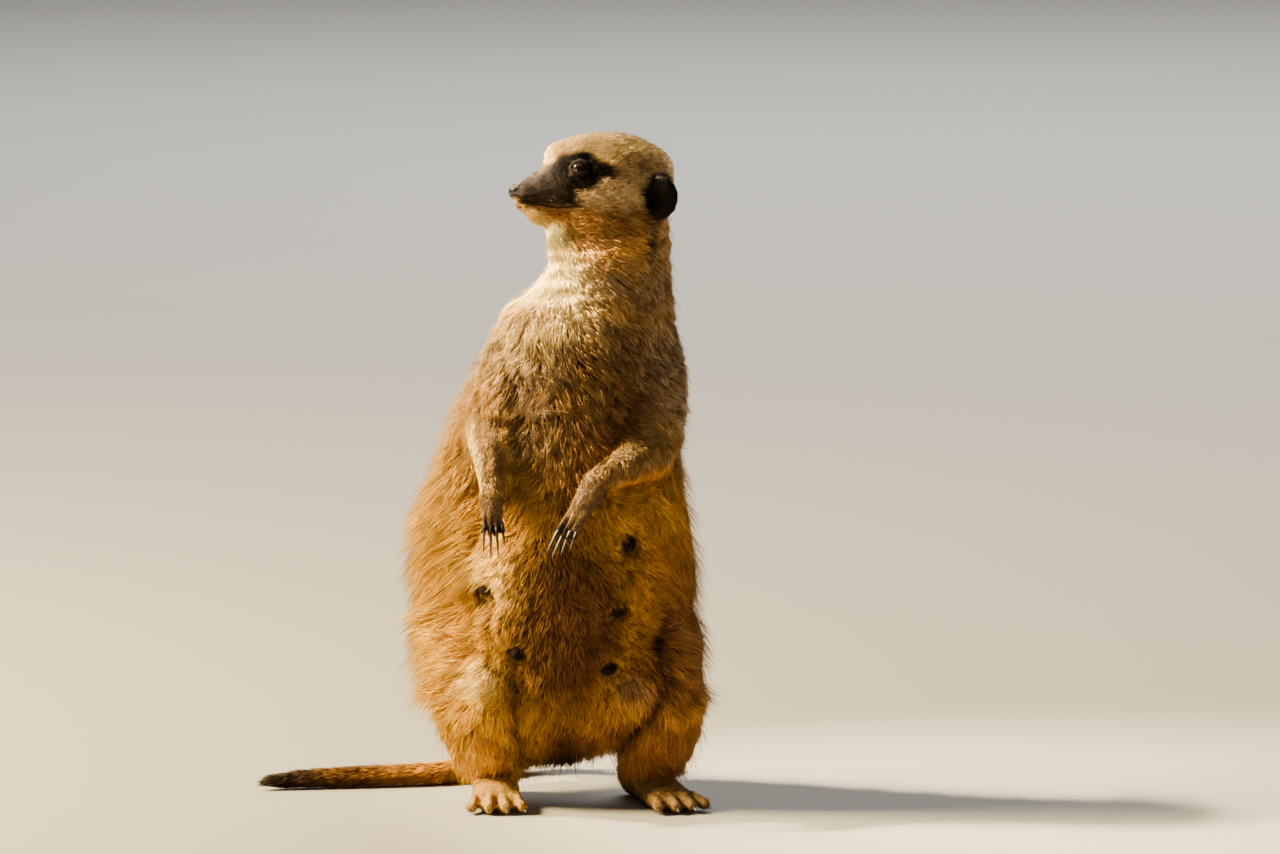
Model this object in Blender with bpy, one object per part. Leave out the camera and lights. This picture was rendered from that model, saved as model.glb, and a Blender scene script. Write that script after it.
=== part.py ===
"""A life-size meerkat that stands upright on its hind feet, with its head turned to its right.

Frame: metres, +Z up. The animal faces -Y, so its own right side is at -X and its tail lies out
towards -X. The solids follow the outline of the coat, tips of the hair included. The whole body is
modelled as one shape from lofted masses, blended by a voxel remesh, and is then parted into named
pieces with thin cuts.
"""

import math

import bmesh
import bpy
from mathutils import Matrix, Vector

MM = 0.001

# Driving dimensions, in millimetres.
HEAD_TURN = 77.0  # degrees from facing forward (-Y) towards the animal's right (-X)
HEAD_ORIGIN = Vector((8.2, -1.0, 0.0))  # level with the eyes, on the head's middle plane
EYE_RADIUS = 4.7
EYE_PLACE = (0.3, 14.2, 285.2)  # along the head, out to the side, height
EAR_PLACE = (-34.3, 22.0, 272.4)  # in the same terms
EAR_RADII = (8.6, 3.0, 10.6)
EAR_FLARE = 24.0  # degrees that the ear's back rim stands away from the head
DIGITS = 4  # on each hand and each foot
FINGER_SPREAD = 3.1  # between the middles of two fingers
FINGER_CLAW_LENGTH = 13.5
TOE_SPREAD = 5.6
TOE_CLAW_LENGTH = 7.0
TOE_REACH = 13.5  # from the ball of the foot to the toes' ends
FOOT_BALL = 33.0  # from the ankle to the ball of the foot
GAP = 0.3  # left between neighbouring pieces by each cut

# How finely the shape is made.
SOFT_VOXEL = 2.0  # grid of the remesh that blends the large masses
SOFT_ROUNDS = 12  # smoothing passes that follow it
FACE_VOXEL = 1.2  # grid of the remesh that blends the face into them
FACE_ROUNDS = 7
FINE_VOXEL = 0.85  # grid of the remesh that adds hands, feet and ears
FINE_ROUNDS = 2
FLESH_TRIANGLES = 3600  # of the whole shape, before it is parted
DETAIL_WEIGHT = 0.5  # how strongly the fine regions are simplified, against 1.0 elsewhere
DETAIL_FACTOR = 12.0
HAND_FRONT = -46.0  # the hands lie in front of this y
HAND_LEVELS = (118.0, 146.0)
FOOT_TOP = 14.0
ANKLE_BACK = 4.0  # the feet lie in front of this y
THROAT_LEVEL = 256.0

# Ovals that part the thighs and the upper arms from the trunk.
THIGH_PLACE = (61.0, -11.0, 70.0)  # out to the side, y, z
THIGH_RADII = (36.0, 28.0, 47.0)
THIGH_SLOPE = 35.0  # degrees
UPPER_ARM_RADII = (20.0, 16.0, 31.0)
UPPER_ARM_OUT = 11.0  # from the middle of the upper arm to the oval's centre
ARM_MARGIN = 2.5  # the length cutters' play around a forearm, a shank and the tail
SHANK_MARGIN = 4.0
TAIL_MARGIN = 3.0
EAR_MARGIN = 1.2

# Planes that part the head from the neck, and the neck from the trunk.
HEAD_CUT = (-16.0, 256.0)  # along the head, height
HEAD_CUT_TILT = 13.0  # degrees
NECK_CUT = 227.0
ABOVE = (160.0, 160.0, 100.0)  # size of a cutter that takes all above a plane

COLOURS = {
    "coat": ((0.52, 0.32, 0.14), 0.85),
    "pale_coat": ((0.66, 0.52, 0.34), 0.85),
    "dark_skin": ((0.03, 0.022, 0.018), 0.55),
    "eye": ((0.02, 0.012, 0.008), 0.08),
    "claw": ((0.09, 0.07, 0.06), 0.35),
}


# --- small helpers ------------------------------------------------------------------------------


def clear_scene():
    for obj in list(bpy.data.objects):
        bpy.data.objects.remove(obj, do_unlink=True)


def material(slot):
    """The named finish, made once."""
    found = bpy.data.materials.get(slot)
    if found:
        return found
    colour, roughness = COLOURS[slot]
    made = bpy.data.materials.new(slot)
    made.use_nodes = True
    shader = made.node_tree.nodes["Principled BSDF"]
    shader.inputs["Base Color"].default_value = (*colour, 1.0)
    shader.inputs["Roughness"].default_value = roughness
    made.diffuse_color = (*colour, 1.0)
    return made


def new_object(name, bm):
    """Keeps the shape as an object, with its faces turned outwards."""
    bm.normal_update()
    bmesh.ops.recalc_face_normals(bm, faces=bm.faces)
    mesh = bpy.data.meshes.new(name)
    bm.to_mesh(mesh)
    bm.free()
    obj = bpy.data.objects.new(name, mesh)
    bpy.context.scene.collection.objects.link(obj)
    return obj


def discard(*objs):
    for obj in objs:
        bpy.data.objects.remove(obj, do_unlink=True)


def apply_modifiers(obj):
    """Replaces the object's mesh with what its modifiers make of it."""
    bpy.context.view_layer.update()
    graph = bpy.context.evaluated_depsgraph_get()
    mesh = bpy.data.meshes.new_from_object(obj.evaluated_get(graph))
    obj.modifiers.clear()
    obj.data = mesh


def smooth_between(stations, steps):
    """Catmull-Rom values between the stations, which are rows of numbers of one length."""
    rows = [list(row) for row in stations]
    ends = [rows[0], *rows, rows[-1]]
    found = []
    for before, low, high, after in zip(ends, ends[1:], ends[2:], ends[3:]):
        for step in range(steps):
            t = step / steps
            found.append(
                [
                    b
                    + 0.5 * t * ((c - a) + t * ((2 * a - 5 * b + 4 * c - d) + t * (3 * (b - c) + d - a)))
                    for a, b, c, d in zip(before, low, high, after)
                ]
            )
    return [*found, rows[-1]]


def turned(angle):
    """A level unit vector, turned by this many degrees from +X towards +Y."""
    return Vector((math.cos(math.radians(angle)), math.sin(math.radians(angle)), 0.0))


def loft(name, stations, across=None, sides=20, steps=4, grow=0.0):
    """A closed tube through stations of (x, y, z, half width, half depth[, twist]), all in millimetres.

    The width runs along across, or along the level direction turned by the station's twist.
    """
    rows = smooth_between(stations, steps)
    centres = [Vector(row[:3]) for row in rows]
    bm = bmesh.new()
    rings = []
    for i, row in enumerate(rows):
        along = (centres[min(i + 1, len(rows) - 1)] - centres[max(i - 1, 0)]).normalized()
        wide = across or turned(row[5])
        wide = (wide - wide.dot(along) * along).normalized()
        deep = along.cross(wide)
        shift = 0.0
        if i in (0, len(rows) - 1):
            shift = grow if i else -grow
        place = Matrix.Translation((centres[i] + shift * along) * MM)
        half_width = max(row[3] + grow, 0.2) * MM
        half_depth = max(row[4] + grow, 0.2) * MM
        shape = Matrix((wide * half_width, deep * half_depth, along * MM)).transposed().to_4x4()
        ring = bmesh.ops.create_circle(bm, segments=sides, radius=1.0, matrix=place @ shape)
        rings.append(list({edge for vert in ring["verts"] for edge in vert.link_edges}))
    for lower, upper in zip(rings, rings[1:]):
        bmesh.ops.bridge_loops(bm, edges=lower + upper)
    for end in (rings[0], rings[-1]):
        bmesh.ops.edgeloop_fill(bm, edges=end)
    # Every quad is split along the same diagonal, so that a grown tube lies evenly outside a plain one.
    bmesh.ops.triangulate(bm, faces=bm.faces, quad_method="FIXED")
    return new_object(name, bm)


def ball(name, centre, radii, axes=None, grow=0.0, rings=12):
    """An ellipsoid with these radii along its own axes, which are three unit vectors."""
    bm = bmesh.new()
    bmesh.ops.create_uvsphere(bm, u_segments=2 * rings, v_segments=rings, radius=1.0)
    spread = Matrix.Diagonal([(radius + grow) * MM for radius in radii]).to_4x4()
    facing = Matrix(axes).transposed().to_4x4() if axes else Matrix.Identity(4)
    bm.transform(Matrix.Translation(Vector(centre) * MM) @ facing @ spread)
    return new_object(name, bm)


def slab(name, centre, size, tilt=Matrix.Identity(3), grow=0.0):
    """A box cutter of this size, turned by tilt about its centre."""
    bm = bmesh.new()
    bmesh.ops.create_cube(bm, size=1.0)
    spread = Matrix.Diagonal([(side + 2 * grow) * MM for side in size]).to_4x4()
    bm.transform(Matrix.Translation(Vector(centre) * MM) @ tilt.to_4x4() @ spread)
    return new_object(name, bm)


def joined(name, pieces):
    """One object that holds all the pieces' meshes."""
    bm = bmesh.new()
    for piece in pieces:
        bm.from_mesh(piece.data)
    discard(*pieces)
    return new_object(name, bm)


def blended(name, pieces, voxel, rounds):
    """The pieces fused into one closed skin on a grid, and smoothed so that their joins flow."""
    obj = joined(name, pieces)
    remesh = obj.modifiers.new("fuse", "REMESH")
    remesh.mode = "VOXEL"
    remesh.voxel_size = voxel * MM
    smooth = obj.modifiers.new("flow", "SMOOTH")
    smooth.factor = 0.5
    smooth.iterations = rounds
    apply_modifiers(obj)
    return obj


def keep_largest(obj):
    """Drops all but the largest connected body of the mesh."""
    bm = bmesh.new()
    bm.from_mesh(obj.data)
    left = set(bm.verts)
    bodies = []
    while left:
        todo = [left.pop()]
        body = set(todo)
        while todo:
            for edge in todo.pop().link_edges:
                for vert in edge.verts:
                    if vert in left:
                        left.discard(vert)
                        body.add(vert)
                        todo.append(vert)
        bodies.append(body)
    bodies.sort(key=len)
    for body in bodies[:-1]:
        bmesh.ops.delete(bm, geom=list(body), context="VERTS")
    bm.to_mesh(obj.data)
    bm.free()


def cut(obj, cutter, operation):
    """Applies one Boolean to the object and keeps the main body that it leaves."""
    cutter.hide_render = True
    modifier = obj.modifiers.new("cut", "BOOLEAN")
    modifier.operation = operation
    modifier.object = cutter
    apply_modifiers(obj)
    keep_largest(obj)
    discard(cutter)


def split_off(whole, name, slot, cutter):
    """Parts the piece inside the cutter from the whole, with a thin gap between the two.

    cutter(grow) makes the cutting shape, larger all round by grow millimetres.
    """
    piece = bpy.data.objects.new(name, whole.data.copy())
    bpy.context.scene.collection.objects.link(piece)
    cut(piece, cutter(0.0), "INTERSECT")
    cut(whole, cutter(GAP), "DIFFERENCE")
    finish(piece, slot)
    return piece


def finish(obj, slot):
    obj.data.materials.clear()
    obj.data.materials.append(material(slot))
    obj.data.shade_smooth()
    obj.data.set_sharp_from_angle(angle=math.radians(45))


# --- the head's own frame -----------------------------------------------------------------------

NOSEWARD = -Vector((math.sin(math.radians(HEAD_TURN)), math.cos(math.radians(HEAD_TURN)), 0.0))
UP = Vector((0.0, 0.0, 1.0))
HEAD_LEFT = UP.cross(NOSEWARD)


def in_head(forward, sideways, height):
    """The place of a point given along the head, out to its left side, and above the floor."""
    return HEAD_ORIGIN + forward * NOSEWARD + sideways * HEAD_LEFT + height * UP


# --- masses of the body, all as the coat's outline ----------------------------------------------

# x, y, z, half width, half depth, twist towards the animal's right.
TRUNK = [
    (2, 4, 24, 12, 12, 0),
    (1, 0, 34, 37, 34, 0),
    (0, -2, 54, 52, 45, 0),
    (0, -3, 78, 61, 50, 0),
    (-0.7, -3, 102, 66, 51, 0),
    (0.6, -1, 126, 62, 47, 0),
    (4, 1, 153, 55, 41.5, -3),
    (8.5, 1.5, 179, 48, 37, -8),
    (13.4, 1, 204, 42.5, 34, -14),
    (21.2, 1.5, 222, 34, 30, -20),
    (25.2, 2, 240, 28.3, 27.5, -35),
    (26, 2.5, 258, 26.5, 26, -50),
    (26, 3, 272, 21, 21, -50),
]

# forward along the head, height of the centre, half width, half height.
SKULL = [
    (-43.5, 271, 7, 6),
    (-40, 272, 15.5, 14),
    (-33, 274.5, 21.5, 19),
    (-22, 276.3, 24, 22.7),
    (-11, 276.6, 23.8, 23.4),
    (-1, 275.3, 20.6, 22.6),
    (7, 273.3, 15.6, 20.1),
    (13.5, 272.2, 10.8, 15.4),
    (19.5, 271.8, 8.2, 11.0),
    (24.7, 272.2, 6.6, 7.3),
    (28.2, 272.8, 4.9, 4.8),
    (29.8, 273.6, 2.6, 2.8),
]


class Side:
    """What differs between the animal's two sides. sign is -1 for its right (-X) and +1 for its left."""

    def __init__(self, name, sign, arm, hand, leg, foot_turn):
        self.name = name
        self.sign = sign
        self.arm = arm  # shoulder, elbow, mid forearm, wrist: x, y, z, half width, half depth
        self.hand = hand  # wrist, knuckles, fingertips: x, y, z
        self.leg = leg  # hip, knee, mid shank, ankle: x, y, z, half width, half depth
        self.foot_turn = foot_turn  # degrees that the toes point outwards


RIGHT = Side(
    "right",
    -1,
    arm=[
        (-14, -4, 207, 15, 15),
        (-23, -13, 189, 14.5, 14),
        (-30, -23, 171, 11.5, 12),
        (-30, -38, 157.5, 7.6, 8.2),
        (-28.7, -48, 143, 5.6, 5.4),
    ],
    hand=[(-28.7, -48, 143), (-28.1, -52.5, 135), (-27.6, -54.5, 127.5)],
    leg=[
        (-34, 15, 86, 24, 24),
        (-39, -9, 72, 23.5, 26),
        (-38, -30, 54, 19, 19),
        (-31, -19, 31, 19.5, 18),
        (-28, -8, 15, 11, 13),
    ],
    foot_turn=-2.0,
)

LEFT = Side(
    "left",
    1,
    arm=[
        (40.5, 1, 207, 14.5, 15),
        (44.5, -5, 187, 14, 15),
        (43.5, -15, 160, 12.5, 13),
        (34, -38, 156, 8.6, 9),
        (19, -53, 150.5, 6.6, 6.6),
    ],
    hand=[(19, -53, 150.5), (9, -58, 134.5), (4.3, -59.5, 127)],
    leg=[
        (36, 15, 86, 25, 24),
        (43, -9, 72, 25, 26),
        (44.5, -30, 54, 22, 20),
        (42, -19, 31, 21.5, 18),
        (38, -8, 15, 11, 13),
    ],
    foot_turn=23.0,
)

SIDES = (RIGHT, LEFT)

# From the rump, down behind it, and out along the floor to the animal's right.
TAIL = [
    (3, 36, 44, 13, 13),
    (2, 52, 26, 10.5, 10.5),
    (-10, 58, 11.7, 8.6, 8.6),
    (-31, 43, 6.2, 7.4, 7.2),
    (-54, 25, 5.4, 6.6, 6.4),
    (-92, 17, 5.0, 6.2, 6.0),
    (-121, 12, 4.4, 5.4, 5.2),
    (-134, 9, 3.7, 3.8, 4.0),
    (-137.5, 8, 3.4, 1.6, 1.8),
]
TAIL_CUTS = (1, 3, 5)  # stations where a new length of tail begins


def span(stations, first, last, extra):
    """The stations from first to last, made thicker by extra. A span from the first one starts in a dome."""
    thick = [(x, y, z, a + extra, b + extra) for x, y, z, a, b in stations[first : last + 1]]
    if first > 0:
        return thick
    start, following = Vector(thick[0][:3]), Vector(thick[1][:3])
    outwards = (start - following).normalized()
    wide, deep = thick[0][3:]
    dome = []
    for share in (0.96, 0.6):
        girth = math.sqrt(1 - share * share)
        dome.append((*(start + share * deep * outwards), wide * girth, deep * girth))
    return dome + thick


def tail_shape():
    return loft("tail", TAIL, across=UP)


def limb_shape(name, stations):
    return loft(name, span(stations, 0, len(stations) - 1, 0.0), across=turned(0))


def length_cutter(stations, first, last, extra, across, grow):
    """Cuts one length out of a tube, from its station first to its station last."""
    return loft("length", span(stations, first, last, extra), across, sides=10, steps=1, grow=grow)


# --- hands and feet -----------------------------------------------------------------------------


def hand_frame(side):
    """Wrist, fingertips' middle, and the unit vectors down the hand, across it and out of its back."""
    wrist, knuckles, tips = (Vector(place) for place in side.hand)
    down = (tips - wrist).normalized()
    across = turned(-12 if side.sign > 0 else 4)
    across = (across - across.dot(down) * down).normalized()
    return wrist, knuckles, tips, down, across, across.cross(down)


def digit_offsets(spread):
    """Sideways places of the digits, and how far back each one ends."""
    middle = (DIGITS - 1) / 2
    return [((i - middle) * spread, abs(i - middle) - 0.5) for i in range(DIGITS)]


def palm(side):
    wrist, knuckles, _, down, across, _ = hand_frame(side)
    width = 1.06 * DIGITS * FINGER_SPREAD / 2
    start = wrist - 3 * down
    stations = [
        (*start, 5.4 if side.sign < 0 else 6.2, 5.0),
        (*((wrist + knuckles) / 2), width, 4.3),
        (*knuckles, width, 3.4),
        (*(knuckles + 1.8 * down), width * 0.85, 2.4),
    ]
    return loft("palm", stations, across=across)


def fingers(side):
    _, knuckles, tips, down, across, _ = hand_frame(side)
    reach = (tips - knuckles).length
    made = []
    for aside, shorter in digit_offsets(FINGER_SPREAD):
        root = knuckles + aside * across
        end = knuckles + 1.14 * aside * across + (reach - 0.9 * shorter) * down
        stations = [(*root, 1.5, 2.2), (*((root + end) / 2), 1.2, 1.9), (*end, 1.1, 1.4)]
        made.append(loft("finger", stations, across=across, sides=10))
    return made


def foot_frame(side):
    """Ankle, and the unit vectors along the foot towards its toes and out to its outer side."""
    ankle = Vector(side.leg[-1][:3])
    angle = math.radians(side.foot_turn) * side.sign
    ahead = Vector((math.sin(angle), -math.cos(angle), 0.0))
    return ankle, ahead, ahead.cross(UP)


def foot_and_toes(side):
    ankle, ahead, outer = foot_frame(side)
    floor = Vector((ankle.x, ankle.y, 0.0))
    stations = [
        (*(floor - 13 * ahead + 6.5 * UP), 4.5, 4.5),
        (*(floor - 6 * ahead + 8.5 * UP), 9, 9),
        (*(floor + 8 * ahead + 9 * UP), 10, 9),
        (*(floor + 21 * ahead + 6.4 * UP), 10.5, 7),
        (*(floor + FOOT_BALL * ahead + 4.4 * UP), 11, 5.4),
        (*(floor + (FOOT_BALL + 3) * ahead + 3.6 * UP), 9.5, 4.2),
    ]
    made = [loft("foot", stations, across=outer)]
    for aside, shorter in digit_offsets(TOE_SPREAD):
        root = floor + (FOOT_BALL - 5) * ahead + aside * outer + 4.6 * UP
        knuckle = floor + (FOOT_BALL + 6) * ahead + 1.1 * aside * outer + 4.6 * UP
        end = toe_end(side, aside, shorter)
        stations = [(*root, 2.9, 3.6), (*knuckle, 2.75, 3.7), (*end, 2.3, 2.5)]
        made.append(loft("toe", stations, across=outer, sides=12))
    return made


def toe_end(side, aside, shorter):
    ankle, ahead, outer = foot_frame(side)
    floor = Vector((ankle.x, ankle.y, 0.0))
    return floor + (FOOT_BALL + TOE_REACH - 2.2 * shorter) * ahead + 1.22 * aside * outer + 2.9 * UP


def claw(name, root, along, droop, length, thickness):
    """A curved, tapering claw that starts at root along one direction and bends towards droop."""
    stations = []
    for share, girth in ((0.0, 1.0), (0.3, 0.92), (0.65, 0.62), (1.0, 0.18)):
        place = root + length * (share * along + 0.42 * share * share * droop)
        stations.append((*place, 0.62 * thickness * girth, thickness * girth))
    side_way = along.cross(droop).normalized()
    return loft(name, stations, across=side_way, sides=5, steps=1)


def claws(side):
    """The claws of one hand and one foot, as (object, the node that each grows from)."""
    made = []
    _, knuckles, tips, down, across, back = hand_frame(side)
    reach = (tips - knuckles).length
    for i, (aside, shorter) in enumerate(digit_offsets(FINGER_SPREAD)):
        root = knuckles + 1.14 * aside * across + (reach - 0.9 * shorter - 0.6) * down
        name = f"claw_hand_{side.name}_{i + 1}"
        palmward = -back if back.y < 0 else back
        splay = 0.1 * aside / FINGER_SPREAD * across
        heading = (down - 0.5 * UP + splay - 0.3 * palmward).normalized()
        made.append((claw(name, root, heading, 0.55 * palmward, FINGER_CLAW_LENGTH, 1.35), "hand"))
    _, ahead, outer = foot_frame(side)
    for i, (aside, shorter) in enumerate(digit_offsets(TOE_SPREAD)):
        root = toe_end(side, aside, shorter) - 0.6 * ahead + 0.6 * UP
        name = f"claw_foot_{side.name}_{i + 1}"
        heading = (ahead + 0.05 * aside * outer + 0.12 * UP).normalized()
        made.append((claw(name, root, heading, -0.85 * UP, TOE_CLAW_LENGTH, 1.0), "foot"))
    return made


# --- ears and eyes ------------------------------------------------------------------------------

HOLLOW_SHIFT = (-1.6, 3.4, -0.6)  # from the ear's centre: towards its back rim, outwards, up
HOLLOW_RADII = (5.0, 2.6, 6.6)


def ear_axes(sign):
    flare = math.radians(EAR_FLARE)
    back_rim = -math.cos(flare) * NOSEWARD + math.sin(flare) * sign * HEAD_LEFT
    outward = math.sin(flare) * NOSEWARD + math.cos(flare) * sign * HEAD_LEFT
    upright = back_rim.cross(outward)
    return back_rim, outward, upright if upright.z > 0 else -upright


def ear(sign, grow=0.0, rings=6):
    """The ear's flap, a flattened ellipsoid whose back rim stands off the head."""
    along, out, height = EAR_PLACE
    return ball("ear", in_head(along, sign * out, height), EAR_RADII, ear_axes(sign), grow, rings)


def ear_hollow(sign):
    """What is taken out of the flap's outer face in front of its rim."""
    along, out, height = EAR_PLACE
    axes = ear_axes(sign)
    centre = in_head(along, sign * out, height)
    for shift, axis in zip(HOLLOW_SHIFT, axes):
        centre += shift * axis
    return ball("hollow", centre, HOLLOW_RADII, axes, rings=5)


def eye(sign, grow=0.0, rings=6):
    along, out, height = EYE_PLACE
    centre = in_head(along, sign * out, height)
    return ball("eye", centre, (EYE_RADIUS,) * 3, grow=grow, rings=rings)


# --- the whole shape ----------------------------------------------------------------------------

# Masses on both sides of the face: along the head, out to the side, height; then the radii.
FACE_MASSES = {
    "cheek": ((-17, 14.5, 264.5), (17, 10, 13)),
    "brow": ((-2, 11.5, 290.2), (8.5, 5.4, 4.6)),
    "whisker_pad": ((20.5, 3.6, 271.6), (8.0, 4.6, 5.0)),
}

# Masses on the middle plane that carry the head down into the neck, in the same terms.
NECK_MASSES = {
    "throat": ((-1, 0, 252), (16.5, 17, 16)),
    "nape": ((-20, 0, 252), (24, 26, 21)),
}

HEAD_AXES = (NOSEWARD, HEAD_LEFT, UP)
INNER_ELBOW = ((-25, -32, 163), (8, 6, 11))  # fills the crook of the right arm: centre, radii


def skull():
    stations = [(*in_head(u, 0, z), wide, high) for u, z, wide, high in SKULL]
    return loft("skull", stations, across=HEAD_LEFT, sides=28)


def face_masses():
    """Cheeks, brows and the pads that carry the whiskers."""
    made = []
    for sign in (-1, 1):
        for name, ((along, out, height), radii) in FACE_MASSES.items():
            made.append(ball(name, in_head(along, sign * out, height), radii, HEAD_AXES))
    return made


def large_masses():
    made = [loft("trunk", TRUNK, sides=32), skull(), tail_shape()]
    for name, (place, radii) in NECK_MASSES.items():
        made.append(ball(name, in_head(*place), radii, HEAD_AXES))
    made.append(ball("inner_elbow", *INNER_ELBOW))
    for side in SIDES:
        made.append(limb_shape("arm", side.arm))
        made.append(limb_shape("leg", side.leg))
        x, y, z, wide, deep = side.arm[0]
        made.append(ball("shoulder", (x, y, z - 3), (wide + 1, deep + 2, 18)))
        x, y, z, wide, deep = side.leg[0]
        made.append(ball("hip", (x - 2 * side.sign, y - 4, z - 4), (wide + 2, deep + 3, 33)))
    return made


def small_masses():
    made = []
    for side in SIDES:
        made += [palm(side), *fingers(side), *foot_and_toes(side), ear(side.sign)]
    return made


def simplify(whole):
    """Fewer triangles, spent first where the form is fine: on the head, the hands and the feet."""
    plain = whole.vertex_groups.new(name="plain")
    for vert in whole.data.vertices:
        _, y, z = vert.co / MM
        hand = y < HAND_FRONT and HAND_LEVELS[0] < z < HAND_LEVELS[1]
        foot = z < FOOT_TOP and y < ANKLE_BACK
        fine = hand or foot or z > THROAT_LEVEL
        plain.add([vert.index], DETAIL_WEIGHT if fine else 1.0, "REPLACE")
    whole.data.transform(Matrix.Scale(1 / MM, 4))
    decimate = whole.modifiers.new("fewer", "DECIMATE")
    decimate.ratio = FLESH_TRIANGLES / sum(len(face.vertices) - 2 for face in whole.data.polygons)
    decimate.vertex_group = plain.name
    decimate.vertex_group_factor = DETAIL_FACTOR
    apply_modifiers(whole)
    whole.data.transform(Matrix.Scale(MM, 4))
    whole.vertex_groups.clear()


def whole_shape():
    soft = blended("soft", large_masses(), SOFT_VOXEL, SOFT_ROUNDS)
    firm = blended("firm", [soft, skull(), *face_masses()], FACE_VOXEL, FACE_ROUNDS)
    whole = blended("whole", [firm, *small_masses()], FINE_VOXEL, FINE_ROUNDS)
    simplify(whole)
    floor = slab("floor", (-30, 0, -30), (400, 300, 60))
    cut(whole, floor, "DIFFERENCE")
    return whole


def head_region(grow=0.0):
    """All that lies above a plane from the throat to the nape."""
    tilt = Matrix.Rotation(math.radians(HEAD_CUT_TILT), 3, HEAD_LEFT)
    along, height = HEAD_CUT
    centre = in_head(along, 0, height) + tilt @ Vector((0, 0, ABOVE[2] / 2))
    return slab("head_region", centre, ABOVE, tilt, grow)


def neck_region(grow=0.0):
    return slab("neck_region", (22, 0, NECK_CUT + ABOVE[2] / 2), ABOVE, grow=grow)


def hand_region(side, grow=0.0):
    wrist, _, tips, down, across, _ = hand_frame(side)
    start = wrist - 0.5 * down
    end = tips + 8 * down
    stations = [(*start, 11, 9), (*((start + end) / 2), 11, 9), (*end, 11, 9)]
    return loft("hand_region", stations, across=across, grow=grow)


def foot_region(side, grow=0.0):
    ankle, ahead, _ = foot_frame(side)
    centre = Vector((ankle.x, ankle.y, 0)) + 20 * ahead + Vector((0, 0, 1.0))
    tilt = Matrix.Rotation(math.atan2(ahead.y, ahead.x), 3, "Z") @ Matrix.Rotation(math.radians(7), 3, "Y")
    return slab("foot_region", centre, (78, 44, 25), tilt, grow)


def upper_arm_region(side, grow=0.0):
    """A long oval over the outer side of the shoulder and upper arm."""
    shoulder, middle, elbow = (Vector(station[:3]) for station in side.arm[:3])
    along = (elbow - shoulder).normalized()
    outward = Vector((side.sign, -0.6, 0.0))
    outward = (outward - outward.dot(along) * along).normalized()
    axes = (outward, outward.cross(along), along)
    centre = middle + UPPER_ARM_OUT * outward
    return ball("upper_arm_region", centre, UPPER_ARM_RADII, axes, grow, rings=7)


def thigh_region(side, grow=0.0):
    """An oval over the flank that slopes from the hip forwards and down to the knee."""
    slope = math.radians(THIGH_SLOPE)
    along = Vector((0.0, -math.cos(slope), -math.sin(slope)))
    outward = Vector((side.sign, 0.0, 0.0))
    axes = (outward, outward.cross(along), along)
    out, y, z = THIGH_PLACE
    return ball("thigh_region", (out * side.sign, y, z), THIGH_RADII, axes, grow, rings=7)


def part_the_body(whole):
    """Cuts the whole into its named nodes, from the ends of the limbs inwards."""
    nodes = {}

    def part(name, slot, cutter):
        nodes[name] = split_off(whole, name, slot, cutter)

    def part_length(name, stations, first, last, extra, across=turned(0)):
        part(name, "coat", lambda grow: length_cutter(stations, first, last, extra, across, grow))

    starts = (*TAIL_CUTS, len(TAIL) - 1)
    names = ("tail_root", "tail_middle", "tail_end")
    for name, first, last in reversed(list(zip(names, starts, starts[1:]))):
        part_length(name, TAIL, first, last, TAIL_MARGIN, UP)
    for side in SIDES:
        sign = side.sign
        part(f"ear_{side.name}", "dark_skin", lambda grow, s=sign: ear(s, grow + EAR_MARGIN))
        cut(nodes[f"ear_{side.name}"], ear_hollow(sign), "DIFFERENCE")
        part(f"hand_{side.name}", "coat", lambda grow, s=side: hand_region(s, grow))
        part(f"foot_{side.name}", "pale_coat", lambda grow, s=side: foot_region(s, grow))
        part_length(f"forearm_{side.name}", side.arm, 2, 4, ARM_MARGIN)
        part(f"upper_arm_{side.name}", "coat", lambda grow, s=side: upper_arm_region(s, grow))
        part_length(f"lower_leg_{side.name}", side.leg, 2, 4, SHANK_MARGIN)
        part(f"thigh_{side.name}", "coat", lambda grow, s=side: thigh_region(s, grow))
    part("head", "coat", head_region)
    part("neck", "pale_coat", neck_region)
    whole.name = "trunk"
    finish(whole, "coat")
    nodes["trunk"] = whole
    return nodes


def nose_pad_region(grow=0.0):
    return ball("nose_region", in_head(30.0, 0, 275.2), (4.4, 5.4, 4.0), HEAD_AXES, grow, rings=5)


def add_face(nodes):
    """Parts the nose pad from the head, and sets both eyes in sockets of their own."""
    head = nodes["head"]
    nodes["nose_pad"] = split_off(head, "nose_pad", "dark_skin", nose_pad_region)
    for side in SIDES:
        cut(head, eye(side.sign, GAP), "DIFFERENCE")
        ball_of_eye = eye(side.sign)
        ball_of_eye.name = f"eye_{side.name}"
        finish(ball_of_eye, "eye")
        nodes[ball_of_eye.name] = ball_of_eye
    finish(head, "coat")


def add_claws(nodes):
    """Each claw starts at a snug gap from the finger or toe that it grows from."""
    for side in SIDES:
        for made, kind in claws(side):
            holder = nodes[f"{kind}_{side.name}"]
            swollen = bpy.data.objects.new("swollen", holder.data.copy())
            bpy.context.scene.collection.objects.link(swollen)
            for vert in swollen.data.vertices:
                vert.co += vert.normal * GAP * MM
            cut(made, swollen, "DIFFERENCE")
            finish(made, "claw")
            nodes[made.name] = made


def centre_on_floor(nodes):
    """Moves the origin to the middle of the model's box, at floor level."""
    corners = [vert.co for node in nodes.values() for vert in node.data.vertices]
    low = [min(co[axis] for co in corners) for axis in range(3)]
    high = [max(co[axis] for co in corners) for axis in range(3)]
    shift = Vector((-(low[0] + high[0]) / 2, -(low[1] + high[1]) / 2, -low[2]))
    for node in nodes.values():
        node.data.transform(Matrix.Translation(shift))
    print("box centre moved by (mm)", [round(value / MM, 2) for value in shift])
    print("box (mm)", [round((h - l) / MM, 1) for l, h in zip(low, high)])


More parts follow.
